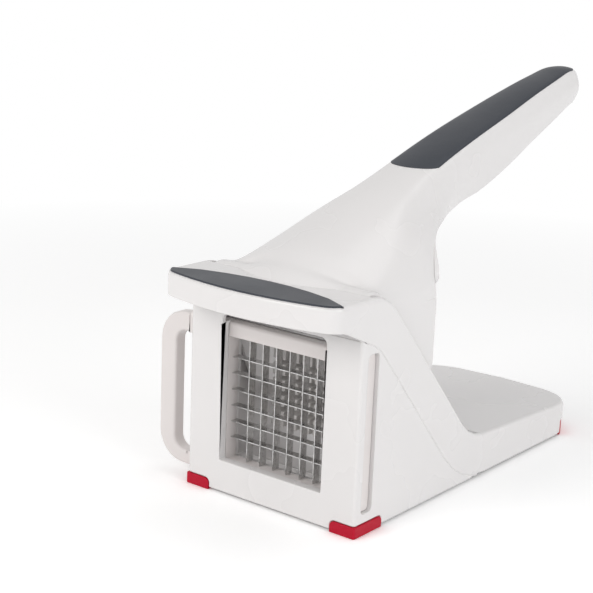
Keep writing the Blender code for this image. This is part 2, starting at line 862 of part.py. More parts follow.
def make_top_cover(carrier):
    cover = prism(
        "top_cover", cover_side_outline(), "X", -HALF - OVERRUN, HALF + OVERRUN, carrier
    )
    plan = prism("cover_plan", plan_outline(0), "Z", -OVERRUN, COVER_TOP + OVERRUN, carrier)
    boolean(cover, plan, "INTERSECT")
    baked(cover)
    bpy.data.objects.remove(plan, do_unlink=True)

    def on_top_edge(edge):
        tilts = sorted(face.normal.z for face in edge.link_faces)
        return abs(tilts[0]) < 0.1 and tilts[1] > 0.4

    bevel_edges(cover, on_top_edge, TOP_EDGE_RADIUS, 2)

    inner = COVER_INNER
    roof = COVER_TOP - PLASTIC_WALL
    wall_y = CHAMBER_END_Y + GAP
    hollow_front = wall_y + PLASTIC_WALL
    side_front = [point for point in plan_outline(COVER_WALL) if point[1] < -BROW_REAR_Y]
    left = min(side_front)[0]
    right = max(side_front)[0]
    brow_hollow = [point for point in side_front if left < point[0] < right]
    brow_hollow = sorted(brow_hollow)
    brow_hollow = [(left, -BROW_REAR_Y + GAP), *brow_hollow, (right, -BROW_REAR_Y + GAP)]
    rear_hollow = prism(
        "plate_hollow_cut",
        (
            (hollow_front, -OVERRUN),
            (PLATE_REAR_Y, -OVERRUN),
            (PLATE_REAR_Y, plate_top(PLATE_REAR_Y) - PLASTIC_WALL),
            (hollow_front, plate_top(hollow_front) - PLASTIC_WALL),
        ),
        "X",
        -inner,
        inner,
        carrier,
    )
    rear_plan = prism(
        "plate_hollow_plan", plan_outline(COVER_WALL), "Z", -2 * OVERRUN, COVER_TOP, carrier
    )
    boolean(rear_hollow, rear_plan, "INTERSECT")
    cut(
        cover,
        block("band_cut", (-inner, -BROW_REAR_Y, -OVERRUN), (inner, wall_y, roof), carrier),
        block(
            "hood_opening_cut",
            (-inner, PIVOT_Y, roof - OVERRUN),
            (inner, wall_y, COVER_TOP + OVERRUN),
            carrier,
        ),
        block(
            "plate_front_cut",
            (-inner, wall_y - OVERRUN, PLATE_FRONT_TOP),
            (inner, PLATE_KNEE_Y + PLATE_KNEE_RADIUS, COVER_TOP),
            carrier,
        ),
        nose_barrel("nose_cut", NOSE_CLEARANCE, carrier),
        prism(
            "brow_hollow_cut",
            brow_hollow,
            "Z",
            BROW_UNDERSIDE + PLASTIC_WALL,
            roof,
            carrier,
        ),
        rear_hollow,
    )
    for side in (-1, 1):
        inside = LINK_INNER
        join(
            cover,
            rod(
                f"axle_boss_{side}",
                (side * inside, PIVOT_Y, PIVOT_HEIGHT),
                (side * (inner + COVER_WALL / 3), PIVOT_Y, PIVOT_HEIGHT),
                BOSS_RADIUS,
                carrier,
            ),
        )
    for number, (x, y) in enumerate(pan_screw_places()):
        if y > CHAMBER_END_Y:
            join(
                cover,
                rod(
                    f"plate_boss_{number}",
                    (x, y, pan_top() + GAP),
                    (x, y, plate_top(y) - PLASTIC_WALL / 2),
                    SCREW_BOSS_RADIUS,
                    carrier,
                ),
            )
            cut(
                cover,
                rod(
                    f"plate_boss_hole_{number}",
                    (x, y, -OVERRUN),
                    (x, y, pan_top() - PAN_THICKNESS + SCREW_LENGTH),
                    SCREW_RADIUS + GAP,
                    carrier,
                ),
            )
    cut(
        cover,
        rod(
            "axle_socket_cut",
            (-inner - GAP, PIVOT_Y, PIVOT_HEIGHT),
            (inner + GAP, PIVOT_Y, PIVOT_HEIGHT),
            AXLE_RADIUS + GAP,
            carrier,
        ),
        rod(
            "link_socket_cut",
            (-inner - COVER_WALL / 2, LINK_PIVOT.y, LINK_PIVOT.z),
            (inner + COVER_WALL / 2, LINK_PIVOT.y, LINK_PIVOT.z),
            LINK_PIN_RADIUS + GAP,
            carrier,
        ),
        inlay_solid("inlay_recess", GAP, COVER_TOP + OVERRUN, carrier),
    )
    for side in (-1, 1):
        band = rear_foot_outline(side, FOOT_PROUD + OVERRUN, FOOT_PROUD - FOOT_WALL - GAP)
        cut(
            cover,
            prism(f"rear_foot_recess_{side}", band, "Z", -OVERRUN, REAR_FOOT_HEIGHT + GAP, carrier),
        )
    return dress(cover, white_plastic("cover white"))


def inlay_solid(name, grow, top, carrier):
    """The lens-shaped pad on the brow bar."""
    inset = INLAY_INSET - grow
    rear = -INLAY_REAR_Y + grow

    def rear_y(x):
        return rear - INLAY_REAR_RADIUS + math.sqrt(INLAY_REAR_RADIUS**2 - x**2)

    front = [point for point in plan_outline(inset) if point[1] < rear_y(point[0])]
    front.sort()
    reach = front[-1][0]
    steps = 8
    back = []
    for step in range(1, steps):
        x = reach * (1 - 2 * step / steps)
        back.append((x, rear_y(x)))
    low = COVER_TOP - INLAY_THICKNESS + GAP - grow
    return prism(name, front + back, "Z", low, top, carrier)


def make_front_grip_pad(carrier):
    pad = inlay_solid("front_grip_pad", 0, COVER_TOP + GAP, carrier)
    return dress(pad, dark_rubber("grip grey"))


def make_base_pan(carrier):
    low = BASE_HEIGHT + PAN_RISE
    side = HOUSING_INNER - 2 * GAP
    front = PANEL_LIP_THICKNESS + GAP
    plan = plan_outline(COVER_WALL + 2 * GAP)
    rear = [point for point in plan if point[1] > CHAMBER_END_Y]
    outline = [(-side, front), (side, front), (side, CHAMBER_END_Y), *rear]
    outline.append((-side, CHAMBER_END_Y))
    pan = prism("base_pan", outline, "Z", low, low + PAN_THICKNESS, carrier)
    for number, (x, y) in enumerate(pan_screw_places()):
        cut(
            pan,
            rod(
                f"pan_hole_{number}",
                (x, y, -OVERRUN),
                (x, y, low + OVERRUN),
                SCREW_RADIUS + GAP,
                carrier,
            ),
        )
    return dress(pan, white_plastic("pan white"))


def screw_mesh(shape, head, point):
    """Adds one screw to a mesh: its head at one end, its shank running to the point."""
    run = (point - head).normalized()
    turn = Vector((0, 0, 1)).rotation_difference(run).to_matrix()
    rings = (
        (0, SCREW_HEAD_RADIUS),
        (SCREW_HEAD_HEIGHT, SCREW_HEAD_RADIUS),
        (SCREW_HEAD_HEIGHT, SCREW_RADIUS),
        ((point - head).length, SCREW_RADIUS),
    )
    sides = 12
    made = []
    for along, radius in rings:
        ring = []
        for side in range(sides):
            angle = math.tau * side / sides
            spoke = Vector((radius * math.cos(angle), radius * math.sin(angle), along))
            ring.append(shape.verts.new(head + turn @ spoke))
        made.append(ring)
    for first, second in zip(made, made[1:]):
        for side in range(sides):
            after = (side + 1) % sides
            shape.faces.new((first[side], first[after], second[after], second[side]))
    shape.faces.new(made[0][::-1])
    shape.faces.new(made[-1])


def make_screws(name, places, carrier):
    for number, (head, point) in enumerate(places, 1):
        shape = bmesh.new()
        screw_mesh(shape, head, point)
        screw = add_object(f"{name}_{number}", finish_mesh(name, shape), carrier)
        dress(screw, steel("screw steel"))


def make_base_screws(carrier):
    low = BASE_HEIGHT + PAN_RISE
    top = low + SCREW_LENGTH - 2 * GAP
    places = []
    for x, y in pan_screw_places():
        head = Vector((x, y, low - GAP - SCREW_HEAD_HEIGHT))
        places.append((head, Vector((x, y, top))))
    make_screws("base_screw", places, carrier)


class Rail:
    """One lengthwise line of the lever, as a smooth curve through its stations."""

    def __init__(self, shares):
        self.columns = list(zip(*shares))
        self.slopes = []
        for values in self.columns:
            padded = [values[0], *values, values[-1]]
            self.slopes.append([(c - a) / 2 for a, c in zip(padded, padded[2:])])

    def at(self, place):
        """The point at a station number, which may lie between two stations."""
        index = min(int(place), len(self.columns[0]) - 2)
        t = place - index
        found = []
        for values, slopes in zip(self.columns, self.slopes):
            found.append(
                (2 * t**3 - 3 * t**2 + 1) * values[index]
                + (t**3 - 2 * t**2 + t) * slopes[index]
                + (3 * t**2 - 2 * t**3) * values[index + 1]
                + (t**3 - t**2) * slopes[index + 1]
            )
        return lever_point(*found)


def lever_point(along, across, height):
    reach = LEVER_REACH
    return Vector((across * HOOD_HALF_WIDTH, along * reach, height * reach)) + PIVOT


CREST = Rail(CREST_SHARES)
FOLD = Rail(FOLD_SHARES)
SHOULDER = Rail(SHOULDER_SHARES)
SIDE = Rail(SIDE_SHARES)
RIM = Rail(RIM_SHARES)
LAST_STATION = len(CREST_SHARES) - 1


def curve_through(points, steps):
    """A smooth run through a few points, with a number of steps between each two."""
    padded = [2 * points[0] - points[1], *points, 2 * points[-1] - points[-2]]
    run = [points[0]]
    for a, b, c, d in zip(padded, padded[1:], padded[2:], padded[3:]):
        for step in range(1, steps + 1):
            t = step / steps
            run.append(
                (
                    2 * b
                    + (c - a) * t
                    + (2 * a - 5 * b + 4 * c - d) * t**2
                    + (3 * b - a - 3 * c + d) * t**3
                )
                / 2
            )
    return run


def top_point(place, share):
    """A point of the lever's top face, from its middle (0) to its fold (1)."""
    crest = CREST.at(place)
    fold = FOLD.at(place)
    drop = (fold - crest) * share**2
    return Vector((fold.x * share, crest.y + drop.y, crest.z + drop.z))


def half_section(place):
    """The lever's section at one station, from the middle of the top down to the rim."""
    top = [top_point(place, step / TOP_STEPS) for step in range(TOP_STEPS + 1)]
    anchors = [rail.at(place) for rail in (FOLD, SHOULDER, SIDE, RIM)]
    side = curve_through(anchors, SIDE_STEPS)[1:]
    for point in side:
        point.x = min(point.x, HOOD_HALF_WIDTH)
    return top + side


def nose_section(crest_deg, side_deg):
    """The same run of points, laid on the barrel about the pivot."""
    fold = FOLD.at(0).x
    points = []
    for step in range(TOP_STEPS + 1):
        share = step / TOP_STEPS
        angle = math.radians(crest_deg + (side_deg - crest_deg) * share**2)
        points.append(barrel_point(fold * share, nose_radius(fold * share), angle))
    angle = math.radians(side_deg)
    anchors = [
        points[-1],
        barrel_point(SHOULDER.at(0).x, NOSE_SIDE_RADIUS, angle),
        barrel_point(HOOD_HALF_WIDTH, NOSE_SIDE_RADIUS - NOSE_CLEARANCE, angle),
        barrel_point(HOOD_HALF_WIDTH, NOSE_SIDE_RADIUS - BOSS_RADIUS, angle),
    ]
    side = curve_through(anchors, SIDE_STEPS)[1:]
    for point in side:
        point.x = min(point.x, HOOD_HALF_WIDTH)
    return points + side


def barrel_point(x, radius, angle):
    return Vector((x, radius * math.cos(angle), radius * math.sin(angle))) + PIVOT


def skin(name, sections, carrier):
    """Mirrors each half section and joins them into one open sheet that faces outwards."""
    shape = bmesh.new()
    rows = []
    for section in sections:
        left = [Vector((-point.x, point.y, point.z)) for point in section[:0:-1]]
        rows.append([shape.verts.new(point) for point in left + section])
    for first, second in zip(rows, rows[1:]):
        for index in range(len(first) - 1):
            shape.faces.new(
                (first[index], first[index + 1], second[index + 1], second[index])
            )
    shape.normal_update()
    if sum(face.normal.z for face in shape.faces) < 0:
        bmesh.ops.reverse_faces(shape, faces=shape.faces)
    mesh = bpy.data.meshes.new(name)
    shape.to_mesh(mesh)
    shape.free()
    return add_object(name, mesh, carrier)


def thicken(item, thickness, flipped=False, clamp=0):
    modifier = item.modifiers.new("Wall", "SOLIDIFY")
    modifier.thickness = thickness
    modifier.offset = 1 if flipped else -1
    modifier.use_even_offset = True
    modifier.thickness_clamp = clamp
    return item


def station_places():
    places = []
    for station, steps in enumerate(STATION_STEPS):
        for step in range(steps):
            places.append(station + step / steps)
    return [*places, LAST_STATION]


def turned_about_pivot(point, angle):
    """Where a point drawn for the closed lever lies once the lever is raised by an angle."""
    away = Vector((0, point[0], point[1])) - PIVOT
    away.rotate(Matrix.Rotation(angle, 3, "X"))
    return away + PIVOT


def skirt_outline():
    """Side arm of the lever: hub at the pivot, straight front edge, eye at the pusher's hinge."""
    lift = REST_ANGLE - CLOSED_ANGLE
    clear = CHAMBER_FRONT_Y + 2 * GAP
    front_top = turned_about_pivot((clear, SLOT_TOP + GAP), lift)
    points = [(PIVOT_Y, SKIRT_TOP), (SKIRT_REAR_Y, SKIRT_TOP), (SKIRT_REAR_Y, SKIRT_REAR_BOTTOM)]
    eye_steps = 8
    start = math.radians(EYE_START_DEG)
    end = -(math.pi - lift)
    for step in range(eye_steps + 1):
        angle = start + (end - start) * step / eye_steps
        points.append(
            (
                HINGE.y + ARM_EYE_RADIUS * math.cos(angle),
                HINGE.z + ARM_EYE_RADIUS * math.sin(angle),
            )
        )
    points.append((front_top.y, front_top.z))
    hub_start = math.radians(HUB_START_DEG)
    hub_end = math.radians(HUB_END_DEG)
    for step in range(eye_steps + 1):
        angle = hub_start + (hub_end - hub_start) * step / eye_steps
        points.append(
            (PIVOT_Y + HUB_RADIUS * math.cos(angle), PIVOT_HEIGHT + HUB_RADIUS * math.sin(angle))
        )
    return points


def make_lever_shell(carrier):
    sections = [nose_section(*degrees) for degrees in NOSE_ROWS_DEG]
    sections += [half_section(along) for along in station_places()]
    shell = thicken(skin("lever_shell", sections, carrier), HOOD_WALL, clamp=1)
    baked(shell)
    outer = HOOD_HALF_WIDTH - SKIRT_INSET
    for side in (-1, 1):
        low, high = sorted((side * outer, side * (outer - SKIRT_THICKNESS)))
        join(shell, prism(f"skirt_{side}", skirt_outline(), "X", low, high, carrier))
    for number, (head, point, normal) in enumerate(handle_screw_places()):
        boss_start = head - normal * (SCREW_HEAD_HEIGHT + UNDERSIDE_WALL + 6 * GAP)
        roof = roof_over(head, normal)
        boss_end = roof + normal * HOOD_WALL / 2
        join(
            shell,
            rod(f"handle_boss_{number}", boss_start, boss_end, SCREW_BOSS_RADIUS, carrier),
        )
        cut(
            shell,
            rod(
                f"handle_boss_hole_{number}",
                boss_start + normal * OVERRUN,
                point - normal * GAP,
                SCREW_RADIUS + GAP,
                carrier,
            ),
        )
    reach = HOOD_HALF_WIDTH + OVERRUN
    cut(
        shell,
        rod(
            "hub_bore_cut",
            (-reach, PIVOT_Y, PIVOT_HEIGHT),
            (reach, PIVOT_Y, PIVOT_HEIGHT),
            AXLE_RADIUS + BUSH_WALL + 2 * GAP,
            carrier,
        ),
        rod(
            "eye_bore_cut",
            (-reach, HINGE.y, HINGE.z),
            (reach, HINGE.y, HINGE.z),
            HINGE_ROD_RADIUS + GAP,
            carrier,
        ),
        pad_solid("pad_recess", True, carrier),
    )
    return dress(shell, white_plastic("lever white"))


def roof_over(start, normal):
    """Where a line straight into the handle from its underside meets the top."""
    low = 0.0
    high = 1.0
    for _ in range(24):
        share = (low + high) / 2
        offset = CREST.at(share * LAST_STATION) - start
        if offset.y * normal.z - offset.z * normal.y < 0:
            high = share
        else:
            low = share
    return CREST.at(low * LAST_STATION)


def pad_solid(name, is_recess, carrier):
    """The dark pad along the top of the handle. As a recess it is grown by the gap."""
    front_middle, front_side, back_middle, back_side = PAD_STATION_SHARES
    grow = GAP if is_recess else 0
    end_grow = 1.5 * grow / LEVER_REACH
    rows = 12
    columns = 3
    sections = []
    for row in range(rows + 1):
        section = []
        for column in range(columns + 1):
            across = column / columns
            front = front_middle + (front_side - front_middle) * across**2 - end_grow
            back = back_middle + (back_side - back_middle) * across**2 + 2 * end_grow
            place = (front + (back - front) * row / rows) * LAST_STATION
            width = PAD_WIDTH_SHARE + grow / FOLD.at(place).x
            section.append(top_point(place, across * width))
        sections.append(section)
    pad = skin(name, sections, carrier)
    lift = OVERRUN / 4 if is_recess else GAP / 2
    shape = bmesh.new()
    shape.from_mesh(pad.data)
    shape.normal_update()
    for vertex in shape.verts:
        vertex.co += vertex.normal * lift
    bmesh.ops.triangulate(shape, faces=shape.faces, quad_method="FIXED")
    shape.to_mesh(pad.data)
    shape.free()
    thicken(pad, lift + PAD_THICKNESS + (GAP if is_recess else -GAP / 2))
    if is_recess:
        baked(pad)
    return pad


def make_handle_grip_pad(carrier):
    return dress(pad_solid("handle_grip_pad", False, carrier), dark_rubber("grip grey"))


def underside_point(place, share):
    """A point of the handle's underside panel, between the two rims of the lever's skin."""
    edge = RIM.at(place)
    side = SIDE.at(place)
    flare = (edge.x - side.x) / (side.z - edge.z)
    wall = (HOOD_WALL + UNDERSIDE_WALL * max(0, flare)) * math.hypot(1, flare)
    half = edge.x - wall - 2 * GAP
    drop = UNDERSIDE_CROWN * (1 - share**2)
    return Vector((half * share, edge.y, edge.z - drop + UNDERSIDE_CROWN / 2))


def handle_screw_places():
    """For each handle screw: the middle of its head, its point and the panel's outward normal."""
    places = []
    for station in HANDLE_SCREW_SHARES:
        place = station * LAST_STATION
        here = underside_point(place, 0)
        step = underside_point(place + 1 / LAST_STATION, 0) - here
        normal = Vector((0, step.z, -step.y)).normalized()
        head = here + normal * GAP + normal * SCREW_HEAD_HEIGHT
        places.append((head, here - normal * SCREW_LENGTH, normal))
    return places


def make_handle_underside(carrier):
    start, end = UNDERSIDE_STATION_SHARES
    rows = 14
    columns = 2
    sections = []
    for row in range(rows + 1):
        place = (start + (end - start) * row / rows) * LAST_STATION
        sections.append([underside_point(place, column / columns) for column in range(columns + 1)])
    panel = skin("handle_underside", sections, carrier)
    thicken(panel, UNDERSIDE_WALL, flipped=True)
    for number, (head, point, normal) in enumerate(handle_screw_places()):
        cut(
            panel,
            rod(
                f"underside_hole_{number}",
                head + normal * OVERRUN,
                point,
                SCREW_RADIUS + GAP,
                carrier,
            ),
        )
    return dress(panel, white_plastic("lever white"))


def make_handle_screws(carrier):
    places = []
    for head, point, normal in handle_screw_places():
        places.append((head, point + normal * 2 * GAP))
    make_screws("handle_screw", places, carrier)


def bore(item, name, place, first, second, radius, carrier):
    """Drills a round hole along X through a place, running past both ends."""
    low = min(first, second) - OVERRUN
    high = max(first, second) + OVERRUN
    cut(item, rod(name, (low, place.y, place.z), (high, place.y, place.z), radius, carrier))


def make_axle(carrier):
    reach = COVER_INNER
    axle = rod(
        "lever_axle",
        (-reach, PIVOT_Y, PIVOT_HEIGHT),
        (reach, PIVOT_Y, PIVOT_HEIGHT),
        AXLE_RADIUS,
        carrier,
    )
    return dress(axle, steel("axle steel"))


def make_bush(name, side, carrier):
    outer = side * (HOOD_HALF_WIDTH + GAP / 2)
    inner = side * (HOOD_HALF_WIDTH - HOOD_WALL - GAP)
    flange = inner - side * BUSH_FLANGE_THICKNESS
    radius = AXLE_RADIUS + GAP + BUSH_WALL
    sleeve = rod(name, (outer, *PIVOT.yz), (flange, *PIVOT.yz), radius - GAP / 2, carrier)
    collar = rod(
        f"{name}_collar", (flange, *PIVOT.yz), (inner, *PIVOT.yz), radius + BUSH_FLANGE, carrier
    )
    join(sleeve, collar)
    bore(sleeve, f"{name}_bore", PIVOT, outer, flange, AXLE_RADIUS + GAP, carrier)
    return dress(sleeve, material("bush grey", (0.55, 0.56, 0.58), 0.5))


def make_hinge_rod(carrier):
    reach = HOOD_HALF_WIDTH
    item = rod(
        "pusher_hinge_rod",
        (-reach, HINGE.y, HINGE.z),
        (reach, HINGE.y, HINGE.z),
        HINGE_ROD_RADIUS,
        carrier,
    )
    return dress(item, steel("rod steel"))


def make_hinge_clip(name, side, carrier):
    outer = side * (HOOD_HALF_WIDTH - SKIRT_INSET - SKIRT_THICKNESS - GAP / 2)
    inner = outer - side * CLIP_THICKNESS
    clip = rod(name, (outer, *HINGE.yz), (inner, *HINGE.yz), CLIP_RADIUS, carrier)
    bore(clip, f"{name}_bore", HINGE, outer, inner, HINGE_ROD_RADIUS + GAP, carrier)
    return dress(clip, steel("clip steel"))


def stud_lines():
    """Edges of the studs across the plate: one stud behind each opening between the blades."""
    lines = [-PUSHER_HALF + STUD_GAP / 2]
    for blade in range(BLADES_EACH_WAY):
        place = (blade - (BLADES_EACH_WAY - 1) / 2) * GRID_PITCH
        lines += [place - STUD_GAP / 2, place + STUD_GAP / 2]
    lines.append(PUSHER_HALF - STUD_GAP / 2)
    return [-PUSHER_HALF, *lines, PUSHER_HALF]


def make_pusher_plate(carrier):
    front = HINGE.y - HINGE_BACKSET + STUD_LENGTH
    centre = PUSHER_MIDDLE
    lines = stud_lines()
    shape = bmesh.new()
    grid = [[shape.verts.new((x, front, centre + z)) for x in lines] for z in lines]
    faces = {}
    for row in range(len(lines) - 1):
        for column in range(len(lines) - 1):
            corners = (
                grid[row][column],
                grid[row][column + 1],
                grid[row + 1][column + 1],
                grid[row + 1][column],
            )
            faces[row, column] = shape.faces.new(corners)
    border = [edge for edge in shape.edges if edge.is_boundary]
    grown = bmesh.ops.extrude_edge_only(shape, edges=border)["geom"]
    moved = [item for item in grown if isinstance(item, bmesh.types.BMVert)]
    bmesh.ops.translate(shape, verts=moved, vec=(0, PUSHER_PLATE, 0))
    rim = [edge for edge in shape.edges if edge.is_boundary]
    bmesh.ops.contextual_create(shape, geom=rim)
    for row in range(1, 2 * STUDS_EACH_WAY, 2):
        for column in range(1, 2 * STUDS_EACH_WAY, 2):
            top = bmesh.ops.extrude_discrete_faces(shape, faces=[faces[row, column]])["faces"][0]
            bmesh.ops.translate(shape, verts=top.verts, vec=(0, -STUD_LENGTH, 0))
            middle = top.calc_center_median()
            for vertex in top.verts:
                vertex.co += (middle - vertex.co) * STUD_TAPER_SHARE
    bmesh.ops.dissolve_limit(
        shape, angle_limit=math.radians(0.5), verts=shape.verts, edges=shape.edges
    )
    plate = add_object("pusher_plate", finish_mesh("pusher_plate", shape), carrier)
    for number, (x, z) in enumerate(pusher_screw_places()):
        cut(
            plate,
            rod(
                f"plate_screw_hole_{number}",
                (x, front + PUSHER_PLATE + OVERRUN, z),
                (x, front - PUSHER_PLATE, z),
                SCREW_RADIUS + GAP,
                carrier,
            ),
        )
    return dress(plate, white_plastic("pusher white"))


def pusher_screw_places():
    """Two screws each side, behind the middles of the lowest and the highest row of studs."""
    x = round(PUSHER_SCREW_SHARE * PUSHER_HALF / GRID_PITCH) * GRID_PITCH
    z = ((BLADES_EACH_WAY - 1) / 2 * GRID_PITCH + PUSHER_HALF) / 2
    return [(side * x, PUSHER_MIDDLE + rise * z) for side in (-1, 1) for rise in (-1, 1)]


def carrier_front():
    return HINGE.y - HINGE_BACKSET + STUD_LENGTH + PUSHER_PLATE + GAP


def make_pusher_carrier(carrier):
    front = carrier_front()
    half = PUSHER_HALF - STUD_GAP / 2
    bottom = PUSHER_MIDDLE - half
    top = PUSHER_MIDDLE + half
    back = front + CARRIER_WALL
    body = block("pusher_carrier", (-half, front, bottom), (half, back, top), carrier)
    join(
        body,
        rod(
            "carrier_tube",
            (-CARRIER_HALF, HINGE.y, HINGE.z),
            (CARRIER_HALF, HINGE.y, HINGE.z),
            CARRIER_TUBE_RADIUS,
            carrier,
        ),
    )
    guide = HINGE + GUIDE
    across = Vector((0, GUIDE.z, -GUIDE.y)).normalized() * CARRIER_TUBE_RADIUS * CARRIER_ARM_SHARE
    for side in (-1, 1):
        outer = side * (CARRIER_HALF - GAP / 3)
        inner = side * (CARRIER_HALF - CARRIER_ARM)
        low, high = sorted((outer, inner))
        corners = (HINGE + across, guide + across, guide - across, HINGE - across)
        outline = [(corner.y, corner.z) for corner in corners]
        join(
            body,
            prism(f"carrier_arm_{side}", outline, "X", low, high, carrier),
            rod(
                f"carrier_eye_{side}",
                (inner, guide.y, guide.z),
                (outer + side * GAP / 3, guide.y, guide.z),
                LINK_PIN_RADIUS * 2,
                carrier,
            ),
        )
    for side in (-1, 0, 1):
        low = side * GRID_PITCH - CARRIER_RIB / 2
        outline = (
            (back - CARRIER_WALL / 2, bottom + CARRIER_TUBE_RADIUS),
            (back + CARRIER_RIB_DEPTH, HINGE.z),
            (back + CARRIER_RIB_DEPTH / 2, top - CARRIER_RIB_DEPTH),
            (back - CARRIER_WALL / 2, top - CARRIER_RIB_DEPTH / 2),
        )
        join(
            body, prism(f"carrier_rib_{side}", outline, "X", low, low + CARRIER_RIB, carrier)
        )
    reach = CARRIER_HALF + OVERRUN
    cut(
        body,
        rod(
            "carrier_bore",
            (-reach, HINGE.y, HINGE.z),
            (reach, HINGE.y, HINGE.z),
            HINGE_ROD_RADIUS + GAP,
            carrier,
        ),
        rod(
            "guide_bore",
            (-reach, guide.y, guide.z),
            (reach, guide.y, guide.z),
            LINK_PIN_RADIUS + GAP,
            carrier,
        ),
    )
    for number, (x, z) in enumerate(pusher_screw_places()):
        cut(
            body,
            rod(
                f"carrier_screw_hole_{number}",
                (x, front - OVERRUN, z),
                (x, back + OVERRUN, z),
                SCREW_RADIUS + GAP,
                carrier,
            ),
        )
    return dress(body, white_plastic("carrier white"))


def make_pusher_screws(carrier):
    back = carrier_front() + CARRIER_WALL
    places = []
    for x, z in pusher_screw_places():
        head = Vector((x, back + GAP + SCREW_HEAD_HEIGHT, z))
        point = Vector((x, carrier_front() - PUSHER_PLATE - PUSHER_PLATE / 2, z))
        places.append((head, point))
    make_screws("pusher_screw", places, carrier)


def make_guide_pin(name, side, carrier):
    guide = HINGE + GUIDE
    inner = side * (CARRIER_HALF - CARRIER_ARM)
    outer = side * (LINK_INNER + LINK_THICKNESS)
    pin = rod(
        name,
        (inner, guide.y, guide.z),
        (outer, guide.y, guide.z),
        LINK_PIN_RADIUS,
        carrier,
    )
    return dress(pin, steel("pin steel"))


def make_link_pin(name, side, carrier):
    inner = side * LINK_INNER
    outer = side * (COVER_INNER + COVER_WALL / 2 - GAP)
    pin = rod(
        name,
        (inner, LINK_PIVOT.y, LINK_PIVOT.z),
        (outer, LINK_PIVOT.y, LINK_PIVOT.z),
        LINK_PIN_RADIUS,
        carrier,
    )
    return dress(pin, steel("pin steel"))


def make_guide_link(name, side, carrier):
    start = LINK_PIVOT
    end = HINGE + GUIDE
    run = (end - start).normalized()
    angle = math.atan2(run.z, run.y)
    flare = math.asin(LINK_HALF_WIDTH / LINK_EYE_RADIUS)
    steps = 8
    outline = []
    for centre, turn in ((end, angle), (start, angle + math.pi)):
        for step in range(steps + 1):
            here = turn - (math.pi - flare) + 2 * (math.pi - flare) * step / steps
            outline.append(
                (
                    centre.y + LINK_EYE_RADIUS * math.cos(here),
                    centre.z + LINK_EYE_RADIUS * math.sin(here),
                )
            )
    low, high = sorted((side * LINK_INNER, side * (LINK_INNER + LINK_THICKNESS)))
    link = prism(name, outline, "X", low, high, carrier)
    for label, place in (("top", start), ("low", end)):
        cut(
            link,
            rod(
                f"{name}_{label}_hole",
                (low - OVERRUN, place.y, place.z),
                (high + OVERRUN, place.y, place.z),
                LINK_PIN_RADIUS + GAP,
                carrier,
            ),
        )
    return dress(link, steel("link steel"))


def make_cassette_frame(carrier):
    low = SLOT_BOTTOM + CASSETTE_CLEARANCE
    high = SLOT_TOP - CASSETTE_CLEARANCE
    front = PANEL_THICKNESS + CASSETTE_CLEARANCE
    rear = SLOT_REAR_Y - GAP
    right = HALF - CASSETTE_INSET
    wall = -HALF - GAP
    left = wall - LOOP_REACH
    bar = filleted(
        [
            (front, low, CASSETTE_CORNER),
            (rear, low, CASSETTE_CORNER),
            (rear, high, CASSETTE_CORNER),
            (front, high, CASSETTE_CORNER),
        ]
    )
    frame = prism("cassette_frame", bar, "X", wall - LOOP_BAR / 2, right, carrier)
    outline = filleted(
        [
            (wall, high - CASSETTE_CORNER / 2, 0),
            (left, high - CASSETTE_CORNER / 2, LOOP_CORNER),
            (left, LOOP_BOTTOM, LOOP_CORNER),
            (wall, LOOP_BOTTOM, 0),
        ]
    )
    loop_front = front + GAP / 3
    loop_rear = rear - GAP / 3
    loop = prism("pull_loop", outline, "Y", loop_front, loop_rear, carrier)

    def on_rim(edge):
        centre = middle_of(edge)
        flat = sorted(abs(face.normal.y) for face in edge.link_faces)
        return centre.x < wall - LOOP_EDGE_RADIUS and flat[0] < 0.1 and flat[1] > 0.9

    hole_right = -HALF + PLASTIC_WALL
    hole = filleted(
        [
            (hole_right, LOOP_BOTTOM + LOOP_LEG, PLASTIC_WALL / 2),
            (hole_right, high - LOOP_BAR, PLASTIC_WALL / 2),
            (left + LOOP_BAR, high - LOOP_BAR, LOOP_INNER_CORNER),
            (left + LOOP_BAR, LOOP_BOTTOM + LOOP_LEG, LOOP_INNER_CORNER),
        ]
    )
    loop_hole = prism("loop_hole_cut", hole, "Y", -OVERRUN, rear + OVERRUN, carrier)
    cut(loop, loop_hole)
    baked(loop)
    bevel_edges(loop, on_rim, LOOP_EDGE_RADIUS, 2)
    window = block(
        "cassette_window_cut",
        (-GRID_HALF, -OVERRUN, GRID_CENTRE_HEIGHT - GRID_HALF),
        (GRID_HALF, rear + OVERRUN, GRID_CENTRE_HEIGHT + GRID_HALF),
        carrier,
    )
    cut(frame, loop_hole, window)
    join(frame, loop)
    return dress(frame, white_plastic("cassette white"))


def blade_outline(notch_front):
    """One blade seen flat: a strip as long as the grid is wide, half cut at each crossing."""
    front = BLADE_FRONT_Y
    rear = BLADE_FRONT_Y + BLADE_DEPTH
    middle = (front + rear) / 2
    end = GRID_HALF - GAP
    half = BLADE_THICKNESS / 2 + GAP
    edge, bottom = (front, middle + GAP / 2) if notch_front else (rear, middle - GAP / 2)
    plain = rear if notch_front else front
    points = [(-end, plain), (-end, edge)]
    for blade in range(BLADES_EACH_WAY):
        place = (blade - (BLADES_EACH_WAY - 1) / 2) * GRID_PITCH
        points += [
            (place - half, edge),
            (place - half, bottom),
            (place + half, bottom),
            (place + half, edge),
        ]
    points += [(end, edge), (end, plain)]
    return points


